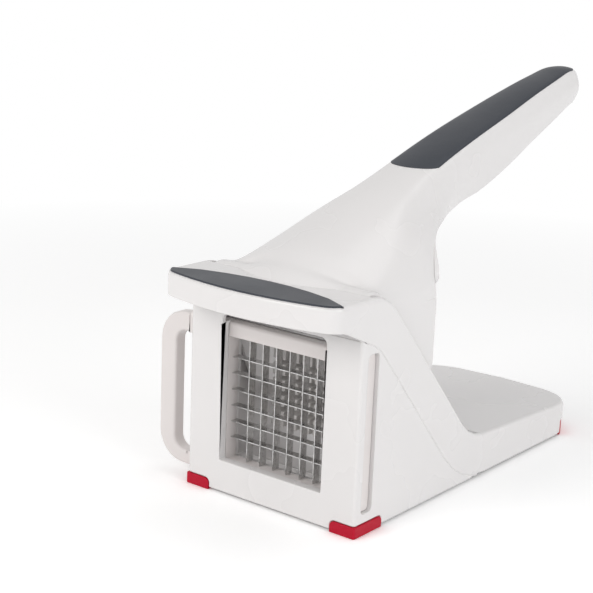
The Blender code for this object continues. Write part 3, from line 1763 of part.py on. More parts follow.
def make_blades(name, upright, carrier):
    outline = blade_outline(notch_front=not upright)
    for blade in range(BLADES_EACH_WAY):
        place = (blade - (BLADES_EACH_WAY - 1) / 2) * GRID_PITCH
        shape = bmesh.new()
        sides = []
        for offset in (-BLADE_THICKNESS / 2, BLADE_THICKNESS / 2):
            corners = []
            for along, y in outline:
                if upright:
                    corner = (place + offset, y, GRID_CENTRE_HEIGHT + along)
                else:
                    corner = (along, y, GRID_CENTRE_HEIGHT + place + offset)
                corners.append(shape.verts.new(corner))
            sides.append(corners)
        for first, second in zip(range(len(outline)), [*range(1, len(outline)), 0]):
            shape.faces.new((sides[0][first], sides[0][second], sides[1][second], sides[1][first]))
        shape.faces.new(sides[0])
        shape.faces.new(sides[1])
        strip = add_object(f"{name}_{blade + 1}", finish_mesh(name, shape), carrier)
        dress(strip, steel("blade steel"))


def bounds():
    graph = bpy.context.evaluated_depsgraph_get()
    low = Vector((math.inf,) * 3)
    high = Vector((-math.inf,) * 3)
    for item in bpy.data.objects:
        if item.type != "MESH" or item.hide_render:
            continue
        evaluated = item.evaluated_get(graph)
        for corner in evaluated.bound_box:
            place = evaluated.matrix_world @ Vector(corner)
            low = Vector(map(min, low, place))
            high = Vector(map(max, high, place))
    return low, high


def main():
    set_up_scene()
    base = empty("base", (0, 0, 0))
    lever = empty("lever_pivot", PIVOT, base)
    pusher = empty("pusher_hinge", HINGE, lever)
    cassette = empty("cassette_slide", (0, PANEL_THICKNESS, SLOT_BOTTOM), base)
    make_lower_housing(base)
    make_top_cover(base)
    make_front_grip_pad(base)
    make_base_pan(base)
    make_base_screws(base)
    make_axle(base)
    make_lever_shell(lever)
    make_handle_underside(lever)
    make_handle_grip_pad(lever)
    make_handle_screws(lever)
    make_hinge_rod(lever)
    make_pusher_plate(pusher)
    make_pusher_carrier(pusher)
    make_pusher_screws(pusher)
    make_cassette_frame(cassette)
    make_blades("vertical_blade", True, cassette)
    make_blades("horizontal_blade", False, cassette)
    for side, label in ((-1, "left"), (1, "right")):
        make_front_foot(f"foot_front_{label}", side, base)
        make_rear_foot(f"foot_rear_{label}", side, base)
        make_bush(f"pivot_bush_{label}", side, lever)
        make_hinge_clip(f"hinge_clip_{label}", side, lever)
        make_guide_pin(f"guide_pin_{label}", side, pusher)
        make_link_pin(f"link_pin_{label}", side, base)
        link = empty(f"link_pivot_{label}", LINK_PIVOT, base)
        make_guide_link(f"guide_link_{label}", side, link)
    bpy.context.view_layer.update()
    low, high = bounds()
    base.location = -Vector(((low.x + high.x) / 2, (low.y + high.y) / 2, low.z))
    bpy.context.view_layer.update()


main()
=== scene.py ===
# French fry cutter: smooth lever, rounded edges, finishes and the studio round it.
# Metres, +Z up. Places below are in the box's own frame: x = 0 is the middle of the body,
# y = 0 its front face and z = 0 the table. boxOrigin carries them into the model's frame.
import json
import math

import bmesh
import bpy
import numpy as np
from mathutils import Matrix, Vector


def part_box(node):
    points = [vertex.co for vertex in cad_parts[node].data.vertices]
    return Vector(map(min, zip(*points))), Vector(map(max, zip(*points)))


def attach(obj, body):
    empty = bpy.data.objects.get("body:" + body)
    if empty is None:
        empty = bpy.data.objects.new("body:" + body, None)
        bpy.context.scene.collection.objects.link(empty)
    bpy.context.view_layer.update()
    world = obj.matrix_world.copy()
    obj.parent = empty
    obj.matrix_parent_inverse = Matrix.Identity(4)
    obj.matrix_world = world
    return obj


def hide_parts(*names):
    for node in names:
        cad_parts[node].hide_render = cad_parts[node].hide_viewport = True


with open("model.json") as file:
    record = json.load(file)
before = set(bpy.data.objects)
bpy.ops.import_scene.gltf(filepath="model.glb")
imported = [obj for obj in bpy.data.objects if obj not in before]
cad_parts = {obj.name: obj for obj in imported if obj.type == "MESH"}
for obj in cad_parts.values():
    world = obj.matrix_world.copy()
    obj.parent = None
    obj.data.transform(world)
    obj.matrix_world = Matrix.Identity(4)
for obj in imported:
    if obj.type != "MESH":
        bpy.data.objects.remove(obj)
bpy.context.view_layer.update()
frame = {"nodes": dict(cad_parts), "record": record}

scene = bpy.context.scene
scene.view_settings.view_transform = "Standard"

housingHeight = 0.1092
housingLow, housingHigh = (Vector(corner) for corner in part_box("lower_housing"))
boxOrigin = Vector(((housingLow.x + housingHigh.x) / 2, housingLow.y, housingHigh.z - housingHeight))
print("frame loaded")

# Shader helpers


def addNode(tree, kind, **values):
    node = tree.nodes.new(kind)
    for key, value in values.items():
        setattr(node, key, value)
    return node


def setInputs(node, **values):
    for key, value in values.items():
        node.inputs[key.replace("_", " ")].default_value = value
    return node


def newGroup(name, inputs, outputs):
    group = bpy.data.node_groups.new(name, "ShaderNodeTree")
    for label, socketType, default in inputs:
        socket = group.interface.new_socket(label, in_out="INPUT", socket_type=socketType)
        socket.default_value = default
    for label, socketType in outputs:
        group.interface.new_socket(label, in_out="OUTPUT", socket_type=socketType)
    return group, group.nodes.new("NodeGroupInput"), group.nodes.new("NodeGroupOutput")


def mathNode(tree, operation, first, second=None, clamp=False):
    node = addNode(tree, "ShaderNodeMath", operation=operation, use_clamp=clamp)
    for index, value in enumerate((first, second)):
        if value is None:
            continue
        if isinstance(value, (int, float)):
            node.inputs[index].default_value = value
        else:
            tree.links.new(value, node.inputs[index])
    return node.outputs[0]


def noiseNode(tree, vector, scale, detail=2.0, roughness=0.5):
    node = addNode(tree, "ShaderNodeTexNoise")
    tree.links.new(vector, node.inputs["Vector"])
    if isinstance(scale, (int, float)):
        node.inputs["Scale"].default_value = scale
    else:
        tree.links.new(scale, node.inputs["Scale"])
    setInputs(node, Detail=detail, Roughness=roughness)
    return node.outputs["Fac"]


def spread(tree, value, low, high, outLow=0.0, outHigh=1.0):
    node = addNode(tree, "ShaderNodeMapRange", clamp=True)
    tree.links.new(value, node.inputs["Value"])
    for key, number in (("From Min", low), ("From Max", high), ("To Min", outLow), ("To Max", outHigh)):
        node.inputs[key].default_value = number
    return node.outputs["Result"]


# Effects that several finishes share

effects = {
    "grainDetail": (3.0, 0.6),
    "grainShare": 0.25,
    "patchDetail": 3.0,
    "patchRange": (0.3, 0.75),
    "flatPointiness": 0.5,
    "breakDetail": 3.0,
    "breakRange": (0.35, 0.65),
    "lineDetail": (4.0, 0.65),
    "cloudScale": 90.0,
}


def buildMouldGrain():
    # Fine tool-finish grain with a faint orange-peel swell under it.
    group, source, sink = newGroup(
        "mouldGrain",
        [("Grain Scale", "NodeSocketFloat", 1600.0), ("Swell Scale", "NodeSocketFloat", 60.0)],
        [("Height", "NodeSocketFloat"), ("Speckle", "NodeSocketFloat")],
    )
    coords = group.nodes.new("ShaderNodeTexCoord").outputs["Object"]
    grain = noiseNode(group, coords, source.outputs["Grain Scale"], *effects["grainDetail"])
    swell = noiseNode(group, coords, source.outputs["Swell Scale"], 1.0)
    height = mathNode(group, "ADD", mathNode(group, "MULTIPLY", grain, effects["grainShare"]), swell)
    group.links.new(height, sink.inputs["Height"])
    group.links.new(grain, sink.inputs["Speckle"])
    return group


def buildHandling():
    # Cloudy patches where hands and wiping change the gloss.
    group, source, sink = newGroup(
        "handling",
        [("Patch Scale", "NodeSocketFloat", 22.0)],
        [("Mask", "NodeSocketFloat")],
    )
    coords = group.nodes.new("ShaderNodeTexCoord").outputs["Object"]
    patches = noiseNode(group, coords, source.outputs["Patch Scale"], effects["patchDetail"])
    patches = spread(group, patches, *effects["patchRange"])
    group.links.new(patches, sink.inputs["Mask"])
    return group


def buildEdgeWear():
    # Convex edges, broken up by noise.
    group, source, sink = newGroup(
        "edgeWear",
        [("Width", "NodeSocketFloat", 0.06), ("Break Scale", "NodeSocketFloat", 300.0)],
        [("Mask", "NodeSocketFloat")],
    )
    point = group.nodes.new("ShaderNodeNewGeometry").outputs["Pointiness"]
    edge = mathNode(group, "SUBTRACT", point, effects["flatPointiness"])
    edge = mathNode(group, "DIVIDE", edge, source.outputs["Width"], clamp=True)
    coords = group.nodes.new("ShaderNodeTexCoord").outputs["Object"]
    broken = noiseNode(group, coords, source.outputs["Break Scale"], effects["breakDetail"])
    broken = spread(group, broken, *effects["breakRange"])
    group.links.new(mathNode(group, "MULTIPLY", edge, broken), sink.inputs["Mask"])
    return group


def buildBrushed():
    # Long fine lines, stretched by the mapping that each steel gives.
    group, source, sink = newGroup(
        "brushed",
        [("Stretch", "NodeSocketVector", (1.0, 1.0, 1.0))],
        [("Height", "NodeSocketFloat"), ("Tone", "NodeSocketFloat")],
    )
    coords = group.nodes.new("ShaderNodeTexCoord").outputs["Object"]
    stretched = addNode(group, "ShaderNodeVectorMath", operation="MULTIPLY")
    group.links.new(coords, stretched.inputs[0])
    group.links.new(source.outputs["Stretch"], stretched.inputs[1])
    lines = noiseNode(group, stretched.outputs["Vector"], 1.0, *effects["lineDetail"])
    cloud = noiseNode(group, coords, effects["cloudScale"])
    group.links.new(lines, sink.inputs["Height"])
    group.links.new(mathNode(group, "MULTIPLY", lines, cloud), sink.inputs["Tone"])
    return group


mouldGrain = buildMouldGrain()
handling = buildHandling()
edgeWear = buildEdgeWear()
brushed = buildBrushed()


def useGroup(tree, group, **values):
    node = addNode(tree, "ShaderNodeGroup", node_tree=group)
    setInputs(node, **values)
    return node


def mixColour(tree, factor, first, second):
    node = addNode(tree, "ShaderNodeMix", data_type="RGBA")
    if isinstance(factor, (int, float)):
        node.inputs["Factor"].default_value = factor
    else:
        tree.links.new(factor, node.inputs["Factor"])
    for key, value in (("A", first), ("B", second)):
        socket = [item for item in node.inputs if item.name == key and item.type == "RGBA"][0]
        if isinstance(value, tuple):
            socket.default_value = (*value, 1)
        else:
            tree.links.new(value, socket)
    return [item for item in node.outputs if item.type == "RGBA"][0]


def addBump(tree, shader, height, strength, distance):
    bump = addNode(tree, "ShaderNodeBump")
    setInputs(bump, Strength=strength, Distance=distance)
    tree.links.new(height, bump.inputs["Height"])
    tree.links.new(bump.outputs["Normal"], shader.inputs["Normal"])


def newMaterial(name):
    made = bpy.data.materials.new(name)
    made.use_nodes = True
    return made, made.node_tree, made.node_tree.nodes["Principled BSDF"]


# Finishes

plasticLook = {"fleckRange": (0.3, 0.8), "ior": 1.46, "coatRoughness": 0.12, "bumpDistance": 0.0004}
rubberLook = {
    "wearWidth": 0.07, "breakScale": 420.0, "patchShare": 0.5,
    "speckleRange": (0.45, 0.75), "speckleShare": 0.25, "bumpDistance": 0.0005,
}
steelLook = {
    "wearWidth": 0.05, "breakScale": 500.0, "wearShare": 0.6,
    "toneRange": (0.1, 0.45), "roughRange": (0.3, 0.7), "bumpDistance": 0.0001,
}


def plasticMaterial(name, spec):
    made, tree, shader = newMaterial(name)
    grain = useGroup(tree, mouldGrain, Grain_Scale=spec["grain"], Swell_Scale=spec["swell"])
    touch = useGroup(tree, handling, Patch_Scale=spec["patches"])
    cloud = mathNode(tree, "MULTIPLY", touch.outputs["Mask"], spec["toneShift"])
    tone = mixColour(tree, cloud, spec["colour"], spec["shade"])
    flecks = spread(tree, grain.outputs["Speckle"], *plasticLook["fleckRange"], 0.0, spec["speckle"])
    tone = mixColour(tree, flecks, tone, spec["fleck"])
    tree.links.new(tone, shader.inputs["Base Color"])
    tree.links.new(spread(tree, touch.outputs["Mask"], 0.0, 1.0, *spec["rough"]), shader.inputs["Roughness"])
    setInputs(shader, IOR=plasticLook["ior"], Coat_Weight=spec["coat"], Coat_Roughness=plasticLook["coatRoughness"])
    addBump(tree, shader, grain.outputs["Height"], spec["bump"], plasticLook["bumpDistance"])
    return made


def rubberMaterial(name, spec):
    made, tree, shader = newMaterial(name)
    grain = useGroup(tree, mouldGrain, Grain_Scale=spec["grain"], Swell_Scale=spec["swell"])
    touch = useGroup(tree, handling, Patch_Scale=spec["patches"])
    wear = useGroup(tree, edgeWear, Width=rubberLook["wearWidth"], Break_Scale=rubberLook["breakScale"])
    cloud = mathNode(tree, "MULTIPLY", touch.outputs["Mask"], rubberLook["patchShare"])
    tone = mixColour(tree, cloud, spec["colour"], spec["shade"])
    speckle = spread(tree, grain.outputs["Speckle"], *rubberLook["speckleRange"])
    tone = mixColour(tree, mathNode(tree, "MULTIPLY", speckle, rubberLook["speckleShare"]), tone, spec["worn"])
    tone = mixColour(tree, mathNode(tree, "MULTIPLY", wear.outputs["Mask"], spec["edge"]), tone, spec["worn"])
    tree.links.new(tone, shader.inputs["Base Color"])
    tree.links.new(spread(tree, touch.outputs["Mask"], 0.0, 1.0, *spec["rough"]), shader.inputs["Roughness"])
    setInputs(shader, IOR=spec["gloss"])
    addBump(tree, shader, grain.outputs["Height"], spec["bump"], rubberLook["bumpDistance"])
    return made


def steelMaterial(name, spec):
    made, tree, shader = newMaterial(name)
    lines = useGroup(tree, brushed, Stretch=spec["stretch"])
    wear = useGroup(tree, edgeWear, Width=steelLook["wearWidth"], Break_Scale=steelLook["breakScale"])
    tone = mixColour(
        tree, spread(tree, lines.outputs["Tone"], *steelLook["toneRange"]), spec["shade"], spec["colour"]
    )
    worn = mathNode(tree, "MULTIPLY", wear.outputs["Mask"], steelLook["wearShare"])
    tree.links.new(mixColour(tree, worn, tone, spec["bright"]), shader.inputs["Base Color"])
    rough = spread(tree, lines.outputs["Height"], *steelLook["roughRange"], *spec["rough"])
    tree.links.new(rough, shader.inputs["Roughness"])
    setInputs(shader, Metallic=1.0, Anisotropic=spec["anisotropic"])
    addBump(tree, shader, lines.outputs["Height"], spec["bump"], steelLook["bumpDistance"])
    return made


bodyPlastic = plasticMaterial("bodyPlastic", {
    "colour": (0.835, 0.815, 0.81), "shade": (0.815, 0.795, 0.79), "fleck": (0.85, 0.84, 0.835),
    "toneShift": 0.5, "speckle": 0.3, "rough": (0.25, 0.29), "coat": 0.12,
    "grain": 1700.0, "swell": 45.0, "patches": 14.0, "bump": 0.03,
})
# Cassette plastic: a beige of its own, with its warm pink tint partly a painted reflection of warm light
cassettePlasticAndReflection = plasticMaterial("cassettePlasticAndReflection", {
    "colour": (0.80, 0.755, 0.74), "shade": (0.77, 0.72, 0.705), "fleck": (0.82, 0.78, 0.77),
    "toneShift": 0.5, "speckle": 0.3, "rough": (0.30, 0.35), "coat": 0.08,
    "grain": 1500.0, "swell": 60.0, "patches": 22.0, "bump": 0.04,
})
pusherPlastic = plasticMaterial("pusherPlastic", {
    "colour": (0.76, 0.74, 0.725), "shade": (0.71, 0.69, 0.67), "fleck": (0.78, 0.76, 0.75),
    "toneShift": 0.6, "speckle": 0.4, "rough": (0.38, 0.46), "coat": 0.0,
    "grain": 1300.0, "swell": 80.0, "patches": 30.0, "bump": 0.07,
})
panPlastic = plasticMaterial("panPlastic", {
    "colour": (0.70, 0.695, 0.69), "shade": (0.65, 0.64, 0.635), "fleck": (0.73, 0.72, 0.71),
    "toneShift": 0.6, "speckle": 0.5, "rough": (0.44, 0.54), "coat": 0.0,
    "grain": 900.0, "swell": 60.0, "patches": 26.0, "bump": 0.12,
})
bushPlastic = plasticMaterial("bushPlastic", {
    "colour": (0.45, 0.46, 0.48), "shade": (0.38, 0.39, 0.41), "fleck": (0.5, 0.51, 0.53),
    "toneShift": 0.7, "speckle": 0.5, "rough": (0.38, 0.48), "coat": 0.0,
    "grain": 1200.0, "swell": 90.0, "patches": 60.0, "bump": 0.1,
})
gripRubber = rubberMaterial("gripRubber", {
    "colour": (0.034, 0.039, 0.051), "shade": (0.042, 0.048, 0.061), "worn": (0.075, 0.083, 0.10),
    "edge": 0.12, "rough": (0.32, 0.42), "gloss": 1.42, "grain": 1500.0, "swell": 90.0,
    "patches": 30.0, "bump": 0.16,
})
footRubber = rubberMaterial("footRubber", {
    "colour": (0.49, 0.002, 0.022), "shade": (0.42, 0.002, 0.018), "worn": (0.60, 0.02, 0.06),
    "edge": 0.2, "rough": (0.40, 0.52), "gloss": 1.30, "grain": 1300.0, "swell": 110.0,
    "patches": 70.0, "bump": 0.12,
})
uprightSteel = steelMaterial("uprightSteel", {
    "colour": (0.66, 0.65, 0.64), "shade": (0.46, 0.455, 0.45), "bright": (0.8, 0.8, 0.8),
    "rough": (0.16, 0.34), "stretch": (3000.0, 3000.0, 40.0), "anisotropic": 0.4, "bump": 0.25,
})
levelSteel = steelMaterial("levelSteel", {
    "colour": (0.66, 0.65, 0.64), "shade": (0.46, 0.455, 0.45), "bright": (0.8, 0.8, 0.8),
    "rough": (0.16, 0.34), "stretch": (40.0, 3000.0, 3000.0), "anisotropic": 0.4, "bump": 0.25,
})
fittingSteel = steelMaterial("fittingSteel", {
    "colour": (0.60, 0.595, 0.59), "shade": (0.42, 0.415, 0.41), "bright": (0.75, 0.75, 0.75),
    "rough": (0.2, 0.38), "stretch": (60.0, 1800.0, 1800.0), "anisotropic": 0.2, "bump": 0.2,
})
print("finishes ready")

# Moulded pieces: the frame's solids with their small edge radii

halfWidth = (housingHigh.x - housingLow.x) / 2
bodyOf = {node: body for body, nodes in frame["record"]["behaviour"]["bodies"].items() for node in nodes}
mouldLook = {"weld": 0.00001, "flatAngle": 0.6, "edgeAngle": 28.0, "edgeSteps": 2, "samePlace": 0.0001}


def newPiece(name, shape, finish, node, smooth=True):
    # A finished piece that rides with a node of the frame, with its finish as its one material.
    mesh = bpy.data.meshes.new(name)
    shape.to_mesh(mesh)
    shape.free()
    mesh.materials.clear()
    mesh.materials.append(finish)
    for polygon in mesh.polygons:
        polygon.use_smooth = smooth
        polygon.material_index = 0
    piece = bpy.data.objects.new(name, mesh)
    scene.collection.objects.link(piece)
    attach(piece, bodyOf[node])
    return piece


def softenEdges(piece, width, steps, angleDeg):
    small = piece.modifiers.new("Edge", "BEVEL")
    small.width = width
    small.segments = steps
    small.limit_method = "ANGLE"
    small.angle_limit = math.radians(angleDeg)
    piece.modifiers.new("Shade", "WEIGHTED_NORMAL").keep_sharp = True
    return small


def roundEdges(shape, chosen, radius, segments):
    edges = [edge for edge in shape.edges if len(edge.link_faces) == 2 and chosen(edge)]
    bmesh.ops.bevel(shape, geom=edges, offset=radius, offset_type="OFFSET", segments=segments,
                    profile=0.5, affect="EDGES", clamp_overlap=False)


def moulded(node, name, finish, edge, mainEdges=()):
    # A copy of the solid with flat faces joined again, its main radii and then its small ones.
    shape = bmesh.new()
    shape.from_mesh(frame["nodes"][node].data)
    bmesh.ops.remove_doubles(shape, verts=shape.verts, dist=mouldLook["weld"])
    flat = math.radians(mouldLook["flatAngle"])
    bmesh.ops.dissolve_limit(shape, angle_limit=flat, verts=shape.verts, edges=shape.edges)
    for chosen, radius, steps in mainEdges:
        roundEdges(shape, chosen, radius, steps)
    piece = newPiece(name, shape, finish, node)
    small = softenEdges(piece, edge, mouldLook["edgeSteps"], mouldLook["edgeAngle"])
    small.use_clamp_overlap = False
    small.miter_outer = "MITER_ARC"
    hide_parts(node)


def frontCorner(edge):
    # The housing's two upright front edges.
    near = mouldLook["samePlace"]
    ends = [vertex.co - boxOrigin for vertex in edge.verts]
    upright = abs(ends[0].x - ends[1].x) < near and abs(ends[0].y - ends[1].y) < near
    return upright and all(abs(abs(end.x) - halfWidth) < near and abs(end.y) < near for end in ends)


mouldings = {
    "lower_housing": ("housing_shell", bodyPlastic, 0.0006, ((frontCorner, 0.0022, 5),)),
    "top_cover": ("cover_shell", bodyPlastic, 0.0005, ()),
    "cassette_frame": ("cassette_body", cassettePlasticAndReflection, 0.0005, ()),
    "base_pan": ("bottom_pan", panPlastic, 0.0003, ()),
    "pusher_plate": ("studded_plate", pusherPlastic, 0.0004, ()),
    "pusher_carrier": ("plate_carrier", pusherPlastic, 0.0003, ()),
    "front_grip_pad": ("brow_pad", gripRubber, 0.0004, ()),
}
for side in ("left", "right"):
    mouldings[f"foot_front_{side}"] = (f"front_foot_{side}", footRubber, 0.0005, ())
    mouldings[f"foot_rear_{side}"] = (f"rear_foot_{side}", footRubber, 0.0004, ())
    mouldings[f"guide_link_{side}"] = (f"link_plate_{side}", fittingSteel, 0.0002, ())
for node, (name, finish, edge, mainEdges) in mouldings.items():
    moulded(node, name, finish, edge, mainEdges)
print("moulded pieces:", len(mouldings))

# Tongue that closes the joint between the housing and the cover

seam = {
    "front": (0.0, 0.1092), "knee": (0.0150, 0.1027, 0.025), "toe": (0.1055, 0.0014, 0.062),
    "end": (0.2560, 0.0014), "gap": 0.0003, "width": 0.0015, "depth": (0.0004, 0.0015), "steps": 14,
    "corner": 0.0022, "cornerSteps": 4, "toeShare": 1 / 3,
}


def roundedRun(start, corners, end, steps):
    # Straight runs with an arc at each corner (a, b, radius).
    points = [Vector(start)]
    places = [Vector(start), *(Vector(corner[:2]) for corner in corners), Vector(end)]
    for index, corner in enumerate(corners, 1):
        back = (places[index - 1] - places[index]).normalized()
        ahead = (places[index + 1] - places[index]).normalized()
        turn = math.pi - back.angle(ahead)
        reach = corner[2] * math.tan(turn / 2)
        middle = places[index] + (back + ahead).normalized() * corner[2] / math.cos(turn / 2)
        side = 1 if back.cross(ahead) < 0 else -1
        for step in range(steps + 1):
            spoke = places[index] + back * reach - middle
            spoke.rotate(Matrix.Rotation(side * turn * step / steps, 2))
            points.append(middle + spoke)
    points.append(Vector(end))
    return points


def seamTongue():
    # Each stop is a point on the wall's face, the way out of the wall and the way across the joint.
    line = roundedRun(seam["front"], (seam["knee"], seam["toe"]), seam["end"], seam["steps"])
    line = [point for point in line if point.x < seam["toe"][0] + seam["toe"][2] * seam["toeShare"]]
    run = []
    for index, point in enumerate(line[1:], 1):
        along = line[min(index + 1, len(line) - 1)] - line[index - 1]
        across = Vector((0, -along.y, along.x)).normalized()
        run.append((Vector((halfWidth, point.x, point.y)), Vector((1, 0, 0)), across))
    up = Vector((0, 0, 1))
    corner = seam["corner"]
    height = seam["front"][1]
    last = seam["cornerSteps"]
    for step in range(last + 1):
        angle = math.radians(90 * step / last)
        out = Vector((math.sin(angle), -math.cos(angle), 0))
        place = Vector((halfWidth - corner, corner, height)) + out * corner
        run.insert(0, (place, out, up) if step < last else (place, out, run[0][2]))
    run.sort(key=lambda stop: (stop[0].y, stop[0].x))
    left = [(Vector((-p.x, p.y, p.z)), Vector((-o.x, o.y, o.z)), a) for p, o, a in reversed(run)]
    shape = bmesh.new()
    rows = []
    for place, out, across in left + run:
        middle = place + across * seam["gap"] / 2 + boxOrigin
        row = []
        for depth, reach in ((0, -1), (0, 1), (1, 1), (1, -1)):
            row.append(shape.verts.new(middle - out * seam["depth"][depth] + across * reach * seam["width"] / 2))
        rows.append(row)
    for first, second in zip(rows, rows[1:]):
        for index in range(4):
            after = (index + 1) % 4
            shape.faces.new((first[index], first[after], second[after], second[index]))
    shape.faces.new(rows[0])
    shape.faces.new(rows[-1])
    bmesh.ops.recalc_face_normals(shape, faces=shape.faces)
    newPiece("seam_tongue", shape, bodyPlastic, "lower_housing", smooth=False)


seamTongue()
print("seam closed")

# Lever: one smooth skin drawn through its lengthwise lines

leverSkin = {
    "pivot": (0.0160, 0.1160),
    "wall": 0.0026,
    "halfWidth": 0.0533,
    "noseRadius": (0.0154, 0.0222),
    "noseHalf": 0.0380,
    "noseFall": 1.5,
    "noseRows": ((160.0, 132.0), (145.0, 118.0), (130.0, 104.0), (116.0, 90.0), (102.0, 76.0)),
    "noseRim": (0.0147, 0.0084),
    "topSteps": 12,
    "sideSteps": 6,
    "rowStep": 0.0025,
    "smoothing": 12,
    "smoothShare": 0.5,
    "easeFrom": -1.0,
    "easeOver": 2.0,
    "rimEdge": 0.0005,
}
# One row for each station, in mm: crest (y, z), then fold, shoulder, side and rim (x, y, z).
leverStations = (
    ((24.6, 144.5), (34.3, 24.5, 135.2), (47.5, 25, 131.0), (53.3, 25, 127.0), (53.3, 23.5, 115.5)),
    ((40, 150.5), (33.2, 39.5, 142.0), (46.4, 38.5, 134.6), (53.2, 38.5, 124.5), (53.3, 38, 112)),
    ((53, 155.4), (32, 51.5, 147.2), (44.6, 50.5, 138.9), (53.0, 50.5, 125.0), (53.3, 50, 112)),
    ((66, 160.5), (29.6, 64, 153.6), (42.2, 63, 143.4), (52.4, 63, 128), (53.3, 64, 112)),
    ((76, 164.4), (26.4, 74, 159.0), (39.2, 72.5, 148.0), (50.3, 71.5, 134.5), (53.2, 76.6, 112)),
    ((84, 167.4), (24, 81.5, 162.6), (36.2, 79.5, 151.2), (47.3, 77, 140.0), (52.5, 77.7, 121.5)),
    ((91, 170), (22.3, 88.5, 165.6), (33.1, 86.5, 153.8), (42.6, 82.8, 145.6), (50.2, 78.6, 131.5)),
    ((98, 172.4), (21, 96, 168.6), (29.9, 94.5, 156.8), (37.6, 91, 150.6), (44.6, 86.5, 143.2)),
    ((107, 175.5), (19.9, 105.5, 172.3), (26.2, 104.5, 160.6), (31.9, 102.5, 155.2), (37.0, 99, 148.9)),
    ((119, 180), (18.7, 117.5, 177.2), (22.7, 117, 165), (26.4, 117, 158.8), (29.4, 116.5, 152)),
    ((133, 184.9), (18.05, 131, 182.1), (20.2, 132, 169.3), (21.9, 133, 162.3), (22.9, 134, 154.6)),
    ((150, 190.5), (17.65, 149, 188.4), (18.9, 150, 175), (19.0, 151.5, 166.6), (18.4, 153, 157.6)),
    ((176, 198.4), (17.1, 175.5, 196.8), (18, 176, 182.6), (17.2, 178, 172.4), (15.3, 180, 161.7)),
    ((210, 208.6), (15.9, 210, 206.6), (17.2, 210.5, 192.2), (16, 211, 182), (14, 212, 172)),
    ((245, 218.5), (13.8, 245, 216.5), (15.6, 245.5, 203), (14.5, 246, 194.5), (12.5, 247, 186)),
    ((278, 226.6), (11.8, 278, 224.9), (13.8, 278, 213), (12.8, 278.5, 205.5), (11, 279, 198.3)),
    ((300, 231), (9.7, 300, 229.4), (11.9, 300, 218.8), (11.2, 300, 211.8), (9.1, 300, 205.6)),
    ((309, 230.4), (8.2, 308.5, 228.6), (10.6, 308.5, 218.4), (9.9, 308.5, 212.3), (7.7, 308, 207.3)),
    ((316, 227.2), (5.8, 315, 225.8), (8.2, 315.5, 217.8), (7.6, 315.5, 213.1), (5.8, 315, 209.6)),
    ((320.3, 222.6), (3.0, 319.6, 221.8), (4.4, 320, 217.4), (4.1, 319.8, 214.6), (3.1, 319.2, 212.6)),
    ((322, 217.6), (0.5, 322, 217.4), (0.7, 322, 216.6), (0.7, 322, 215.6), (0.5, 322, 215.0)),
)


def smoothRun(points, counts):
    # A smooth curve through the points, with slopes weighed by the distances between them.
    points = [np.array(point, float) for point in points]
    chords = [max(np.linalg.norm(b - a), 1e-9) for a, b in zip(points, points[1:])]
    slopes = [(b - a) / chord for a, b, chord in zip(points, points[1:], chords)]
    ways = [slopes[0]]
    for index in range(1, len(slopes)):
        before, after = chords[index - 1], chords[index]
        ways.append((slopes[index - 1] * after + slopes[index] * before) / (before + after))
    ways.append(slopes[-1])
    run = [points[0]]
    for index, count in enumerate(counts):
        start, end = points[index], points[index + 1]
        first, last = ways[index] * chords[index], ways[index + 1] * chords[index]
        for step in range(1, count + 1):
            t = step / count
            run.append((2 * t**3 - 3 * t**2 + 1) * start + (t**3 - 2 * t**2 + t) * first
                       + (3 * t**2 - 2 * t**3) * end + (t**3 - t**2) * last)
    return run


def stationSection(station):
    crest, fold, shoulder, side, rim = (np.array(point) / 1000 for point in station)
    drop = fold[1:] - crest
    top = []
    for step in range(leverSkin["topSteps"] + 1):
        share = step / leverSkin["topSteps"]
        top.append(np.array((fold[0] * share, *(crest + drop * share**2))))
    return top + smoothRun((fold, shoulder, side, rim), [leverSkin["sideSteps"]] * 3)[1:]


def noseSection(crestDeg, sideDeg):
    # The nose lies on a barrel about the pivot, thickest in its middle.
    fold, shoulder = leverStations[0][1][0] / 1000, leverStations[0][2][0] / 1000
    slim, stout = leverSkin["noseRadius"]

    def onBarrel(x, radius, angle):
        y, z = leverSkin["pivot"]
        return np.array((x, y + radius * math.cos(angle), z + radius * math.sin(angle)))

    top = []
    for step in range(leverSkin["topSteps"] + 1):
        share = step / leverSkin["topSteps"]
        x = fold * share
        radius = slim + (stout - slim) * (1 - min(1, x / leverSkin["noseHalf"]) ** 2) ** leverSkin["noseFall"]
        top.append(onBarrel(x, radius, math.radians(crestDeg + (sideDeg - crestDeg) * share**2)))
    angle = math.radians(sideDeg)
    side = [top[-1], onBarrel(shoulder, slim, angle)]
    side += [onBarrel(leverSkin["halfWidth"], radius, angle) for radius in leverSkin["noseRim"]]
    return top + smoothRun(side, [leverSkin["sideSteps"]] * 3)[1:]


